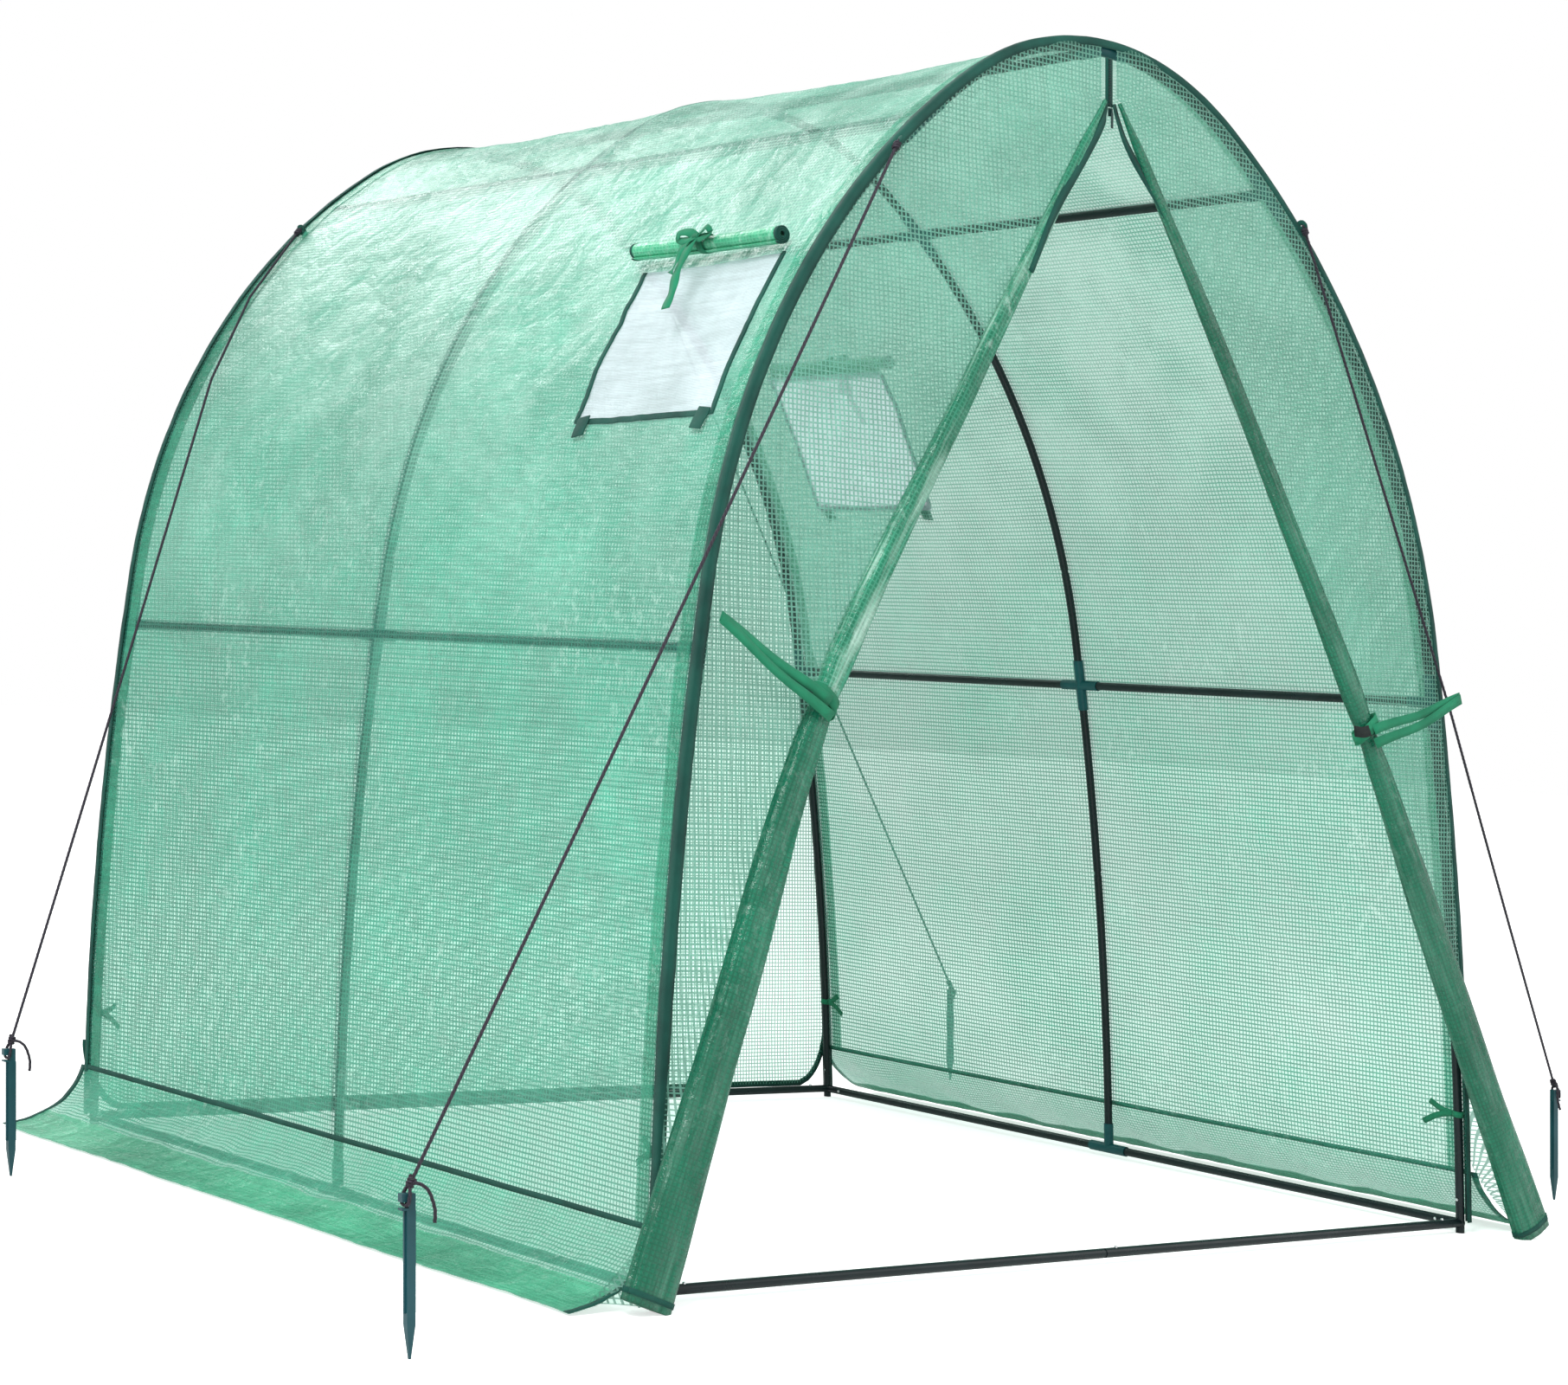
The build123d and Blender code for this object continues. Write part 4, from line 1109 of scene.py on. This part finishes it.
for name, (side, near, far, top, bottom) in windows.items():
    middle = (near + far) / 2

    def net(s, y):
        down_net = (s - top) / (bottom - top)
        along_net = (y - near) / (far - near)
        billow = -0.004 * math.sin(math.pi * down_net) * math.sin(math.pi * along_net)
        return wall_point(side, s, y, -0.0012 + billow), (s, y)

    rows = spaced([top - 0.010, bottom + 0.010], 0.014)
    shape = sheet(rows, spaced([near - 0.010, far + 0.010], 0.016), net)
    piece(f"window_net_{name}", shape, SCREEN, "frame", (f"window_screen_{name}",))

    # bound edge on both sides and along the bottom
    border = [(s, near - 0.004) for s in spaced([top, bottom + 0.004], 0.012)]
    border += [(bottom + 0.004, y) for y in spaced([near - 0.004, far + 0.004], 0.012)[1:]]
    border += [(s, far + 0.004) for s in spaced([top, bottom + 0.004], 0.012)[-2::-1]]
    path = [wall_point(side, s, y, 0.0016) for s, y in border]
    normals = [outward(hoop_at(side * s)[2]) for s, y in border]
    shape = ribbon(path, [0.010] * len(path), normals, 0.0022)
    edge = piece(f"window_edge_{name}", shape, BINDING, "frame")
    rounded(edge, 0.0006)

    # two tabs hang below the bottom corners
    for corner, y in (("near", near + 0.016), ("far", far - 0.016)):
        drop = [bottom - 0.004, bottom + 0.008, bottom + 0.020, bottom + 0.034]
        tilt = 0.10 if corner == "near" else -0.16
        path = [
            wall_point(side, s, y + tilt * (s - bottom), 0.0038 + 0.004 * smooth((s - bottom) / 0.034))
            for s in drop
        ]
        normals = [outward(hoop_at(side * s)[2]) for s in drop]
        shape = ribbon(path, [0.030, 0.031, 0.030, 0.029], normals, 0.0020)
        tab = piece(f"window_tab_{corner}_{name}", shape, BINDING, "frame")
        rounded(tab, 0.0007)
    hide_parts("window_tabs", "window_bindings")

    # the flap rolled up above the opening: a spiral of cloth, with its turns showing at the ends
    roll_low, roll_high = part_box(f"window_roll_{name}")
    axis_x, axis_z = (roll_low.x + roll_high.x) / 2, (roll_low.z + roll_high.z) / 2
    full = (roll_high.z - roll_low.z) / 2 * 0.97
    turns = 3.2
    steps = 88

    def spiral(y, k):
        around = 2 * math.pi * turns * k / steps
        reach = full * (0.30 + 0.70 * k / steps)
        fold = 1 + 0.05 * ripple((y * 0.6, math.cos(around), math.sin(around)), 0.35, 6.0, 2) * (k / steps)
        sag = -0.0015 * math.sin(math.pi * (y - roll_low.y) / (roll_high.y - roll_low.y))
        a = math.radians(-55) + side * around
        point = Vector((axis_x + math.cos(a) * reach * fold, y, axis_z + math.sin(a) * reach * fold + sag))
        return point, (around * reach, y)

    rows = spaced([roll_low.y + 0.003, roll_high.y - 0.003], 0.012)
    shape = sheet(rows, list(range(steps + 1)), spiral)
    flap_body = f"window_flap_{name}"
    rolled = f"window_roll_{name}"
    made = piece(f"window_flap_roll_{name}", shape, SMALL_ROLL, flap_body, (rolled,))
    thicken(made, 0.0011)
    # dark bound edge of the flap, wound up with it at both ends
    for end, y in (("near", roll_low.y + 0.002), ("far", roll_high.y - 0.002)):
        shape = sheet(
            [y - 0.0018, y + 0.0050 if end == "near" else y - 0.0068], list(range(steps + 1)), spiral
        )
        made = piece(f"window_flap_edge_{end}_{name}", shape, BINDING, flap_body)
        thicken(made, 0.0024)

    # a short band of cloth between the wall and the roll, at the top of the opening
    rows = [top - 0.012 + 0.018 * i / 24 for i in range(25)]
    shape = sheet(
        rows, spaced([near - 0.006, far + 0.006], 0.05), lambda s, y: (wall_point(side, s, y, 0.0050), (s, y))
    )
    drawn = piece(f"window_flap_drawn_{name}", shape, COVER, None)
    first, last = wall_point(side, rows[0], middle, 0.005), wall_point(side, rows[-1], middle, 0.005)
    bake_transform(drawn)

    # strap round the roll, tied in a bow with its tails hanging
    ring, ring_normals = [], []
    for k in range(29):
        a = 2 * math.pi * k / 28
        arm = Vector((math.cos(a), 0, math.sin(a)))
        ring.append(Vector((axis_x, middle, axis_z)) + arm * (full + 0.0018))
        ring_normals.append(arm)
    shape = ribbon(ring, [0.016] * 29, ring_normals, 0.0012)
    piece(f"window_tie_band_{name}", shape, STRAP, flap_body, (f"window_tie_{name}",))
    out = outward(hoop_at(side * top)[2])
    lean = math.radians(abs(hoop_at(side * top)[2]))
    down = Vector((side * math.cos(lean), 0, -math.sin(lean)))
    along = Vector((0, 1, 0))
    knot = Vector((axis_x, middle, axis_z)) + out * (full + 0.005) + down * 0.004
    bows = {
        "loop_a": (
            (0, 0, 0.0),
            (0.018, -0.006, 0.006),
            (0.036, -0.002, 0.010),
            (0.040, 0.006, 0.004),
            (0.022, 0.008, 0.002),
            (0.002, 0.003, 0.002),
        ),
        "loop_b": (
            (0, 0, 0.0),
            (-0.016, -0.008, 0.006),
            (-0.032, -0.008, 0.010),
            (-0.038, 0.000, 0.004),
            (-0.020, 0.006, 0.002),
            (-0.002, 0.003, 0.002),
        ),
        "tail_a": (
            (0, 0.002, 0.001),
            (-0.003, 0.030, 0.004),
            (0.004, 0.070, -0.004),
            (-0.004, 0.105, -0.010),
            (-0.010, 0.140, -0.012),
        ),
        "tail_b": ((0, 0.002, 0.002), (0.012, 0.022, 0.004), (0.016, 0.046, 0.000), (0.024, 0.070, -0.006)),
    }
    for part, keys in bows.items():
        path = curve_through([knot + along * a + down * d + out * o for a, d, o in keys], 0.005)
        hanging = part == "tail_a"
        normals = [out + along * (0.1 if hanging else 0.5) * math.sin(0.6 * i) for i in range(len(path))]
        widths = [0.018 if hanging and i > 3 else 0.013 + 0.003 * math.sin(0.5 * i) for i in range(len(path))]
        shape = ribbon(path, widths, normals, 0.0011)
        piece(f"window_tie_{part}_{name}", shape, STRAP, flap_body)
    shape = cord([knot + along * t for t in (-0.007, -0.003, 0.003, 0.007)], 0.0062, 12)
    rounded(piece(f"window_tie_knot_{name}", shape, STRAP, flap_body), 0.002)


# ---- small ties that hold the cover to the end legs ----

for end, y_sign in (("front", -1), ("rear", 1)):
    for name, side in (("left", -1), ("right", 1)):
        x, z, _ = hoop_at(side * run_at_height(0.215))
        leg = Vector((x, y_sign * HALF_LENGTH, z))
        wrap, wrap_normals = [], []
        for k in range(17):
            a = 2 * math.pi * k / 16
            arm = Vector((math.cos(a), math.sin(a), 0.15 * math.sin(a)))
            wrap.append(leg + arm * (TUBE_R + 0.0014))
            wrap_normals.append(arm)
        shape = ribbon(wrap, [0.011] * 17, wrap_normals, 0.0010)
        made = piece(f"leg_tie_band_{end}_{name}", shape, STRAP, "frame")
        for tail, reach, drop in (("a", 0.060, -0.022), ("b", 0.045, 0.018)):
            knot = leg + Vector((-side * 0.002, -y_sign * (TUBE_R + 0.003), 0))
            keys = [
                knot,
                knot + Vector((-side * 0.004, -y_sign * reach * 0.5, drop * 0.3)),
                knot + Vector((-side * 0.008, -y_sign * reach, drop)),
            ]
            path = curve_through(keys, 0.008)
            shape = ribbon(path, [0.011] * len(path), [Vector((side, 0.2, 0.2))] * len(path), 0.0011)
            piece(f"leg_tie_{tail}_{end}_{name}", shape, STRAP, "frame")
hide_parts("leg_ties")


# ---- guy ropes ----

ROPE_R = 0.0028
# hoop angle and Y where a rope turns: over the edge of the front arch, and over the wall from the rear one
ROPE_BENDS = {"front_right": ((81.5, -0.924),), "rear_left": ((54.0, 0.849), (63.0, 0.806))}


def helix(start, direction, radius, length, turns, gap=0.0016):
    """A coil of rope round a line."""
    direction = direction.normalized()
    side = direction.cross(Vector((0, 1, 0))).normalized()
    up = direction.cross(side)
    count = math.ceil(2 * math.pi * radius * turns / gap)
    points = []
    for i in range(count + 1):
        a = 2 * math.pi * turns * i / count
        arm = side * math.cos(a) + up * math.sin(a)
        points.append(start + direction * length * i / count + arm * radius)
    return points


def rope_piece(name, points, body, replaced=()):
    shape = cord(points, ROPE_R, 10, 0.0006, 0.0095)
    return piece(name, shape, ROPE, body, replaced)


for corner in ("front_left", "front_right", "rear_left", "rear_right"):
    body = f"rope_{corner}"
    top = Vector(joints[f"{body}_lift"]["pos_m"])
    knot = Vector(joints[f"stake_{corner}_turn"]["pos_m"])
    side = math.copysign(1.0, knot.x)
    keys = [top]
    for angle, y in ROPE_BENDS.get(corner, ()):
        x, z, _ = hoop_at(side * run_at_angle(angle), COVER_GAP + 0.0107)
        keys.append(Vector((x, y, z)))
    keys.append(knot)
    points = []
    for a, b in zip(keys, keys[1:]):
        count = math.ceil((b - a).length / 0.0024)
        for i in range(count + (b is keys[-1])):
            t = i / count
            points.append(a.lerp(b, t) + Vector((0, 0, -0.004 * math.sin(math.pi * t) * (b is knot))))
    rope_piece(f"guy_line_{corner}", points, body, (f"guy_rope_{corner}",))

    # at the stake: a coiled knot, a loop through the hook and a loose tail
    upward = (keys[-2] - knot).normalized()
    rope_piece(f"guy_knot_{corner}", helix(knot - upward * 0.002, upward, 0.0040, 0.014, 3), body)
    loop = [(0, 0, 0.002), (0.004, 0.0078, -0.010), (0.0068, 0.0080, -0.023), (0.0075, 0, -0.0255)]
    loop += [(0.0068, -0.0080, -0.023), (0.004, -0.0078, -0.010), (0, 0, 0.002)]
    points = curve_through([knot + Vector((side * x, y, z)) for x, y, z in loop], 0.0024)
    rope_piece(f"guy_loop_{corner}", points, body)
    tail = [
        (0, 0, 0),
        (-0.006, -0.010, 0.004),
        (-0.016, -0.020, -0.004),
        (-0.022, -0.026, -0.026),
        (-0.020, -0.030, -0.045),
    ]
    points = curve_through([knot + Vector((side * x, y, z)) for x, y, z in tail], 0.0024)
    rope_piece(f"guy_tail_{corner}", points, body)

    # at the arch: a knot on the end of the rope, held by a short webbing loop
    downward = (keys[1] - top).normalized()
    rope_piece(f"guy_top_knot_{corner}", helix(top + downward * 0.006, downward, 0.0038, 0.012, 3), body)
    x, z, _ = hoop_at(side * run_at_angle(TIE_ANGLE), COVER_GAP - 0.001)
    root = Vector((x, math.copysign(min(abs(top.y), EDGE_Y), top.y), z))
    holds = root.lerp(top, 0.5)
    arm = (top - root).normalized()
    bight = [
        root,
        holds + downward * 0.006,
        top + arm * 0.003 + downward * 0.003,
        top - downward * 0.004,
        holds - downward * 0.004,
        root,
    ]
    path = curve_through(bight, 0.003)
    shape = ribbon(path, [0.009] * len(path), [downward.cross(arm) + arm * 0.01] * len(path), 0.0012)
    piece(f"guy_webbing_{corner}", shape, BINDING, "frame")


# ---- floor, light and camera ----

mesh = bpy.data.meshes.new("studio_floor")
reach = 45.0
corners = [(reach * x, reach * y, -0.0004) for x, y in ((-1, -1), (1, -1), (1, 1), (-1, 1))]
mesh.from_pydata(corners, [], [(0, 1, 2, 3)])
floor = bpy.data.objects.new("studio_floor", mesh)
bpy.context.scene.collection.objects.link(floor)
paper = Graph("studio_paper")
# the sheet looks white to the camera, yet throws little light back up
seen = paper.node("LightPath").outputs["Is Camera Ray"]
matt = paper.node(
    "BsdfPrincipled",
    Base_Color=(0.80, 0.80, 0.80, 1.0),
    Roughness=0.9,
    Emission_Color=(1.0, 1.0, 1.0, 1.0),
    Emission_Strength=paper.range(seen, 0.0, 1.0, 0.20, 0.64),
)
mesh.materials.append(paper.finish(matt))


def softbox(name, place, size, power):
    """A square area light that faces the middle of the tunnel."""
    data = bpy.data.lights.new(name, "AREA")
    data.shape = "SQUARE"
    data.size = size
    data.energy = power
    lamp = bpy.data.objects.new(name, data)
    lamp.location = place
    lamp.rotation_mode = "QUATERNION"
    lamp.rotation_quaternion = (Vector((0, 0, 0.9)) - Vector(place)).to_track_quat("-Z", "Y")
    bpy.context.scene.collection.objects.link(lamp)
    return lamp


lamps = [
    softbox("key", (-3.7, -2.8, 4.7), 2.2, 260),
    softbox("fill", (5.5, -4.0, 3.5), 4.5, 100),
    softbox("back", (0.6, 6.0, 5.4), 2.6, 170),
    softbox("top", (-2.5, 0.0, 6.5), 2.5, 50),
]

world = bpy.data.worlds.new("studio")
bpy.context.scene.world = world
world.use_nodes = True
sky = world.node_tree.nodes["Background"]
sky.inputs["Color"].default_value = (1.0, 1.0, 1.0, 1.0)
# the air seen behind the tunnel is white paper; the light it sheds is softer
seen = world.node_tree.nodes.new("ShaderNodeLightPath").outputs["Is Camera Ray"]
strength = world.node_tree.nodes.new("ShaderNodeMapRange")
strength.inputs["To Min"].default_value = 0.78
strength.inputs["To Max"].default_value = 1.0
world.node_tree.links.new(seen, strength.inputs["Value"])
world.node_tree.links.new(strength.outputs[0], sky.inputs["Strength"])

# a level camera in front and to the left; its picture is sheared a little, so uprights lean to the right
turn, lift, shear = 0.67411, 0.00276, 0.0620
ahead = Vector((math.sin(turn) * math.cos(lift), math.cos(turn) * math.cos(lift), math.sin(lift)))
right = ahead.cross(Vector((0, 0, 1))).normalized()
up = right.cross(ahead)
eye = Vector((-3.598, -4.573, 0.886))
lens = bpy.data.cameras.new("camera")
lens.sensor_width = 36.0
lens.lens = 71.98
lens.clip_end = 100.0
camera = bpy.data.objects.new("camera", lens)
bpy.context.scene.collection.objects.link(camera)
mount = bpy.data.objects.new("camera_mount", None)
bpy.context.scene.collection.objects.link(mount)
camera.parent = mount
leaned = Matrix((right + up * shear, up, -ahead)).transposed().to_4x4()
leaned.translation = eye
camera.matrix_parent_inverse = leaned
bpy.context.scene.camera = camera
bpy.context.scene.view_settings.view_transform = "Standard"
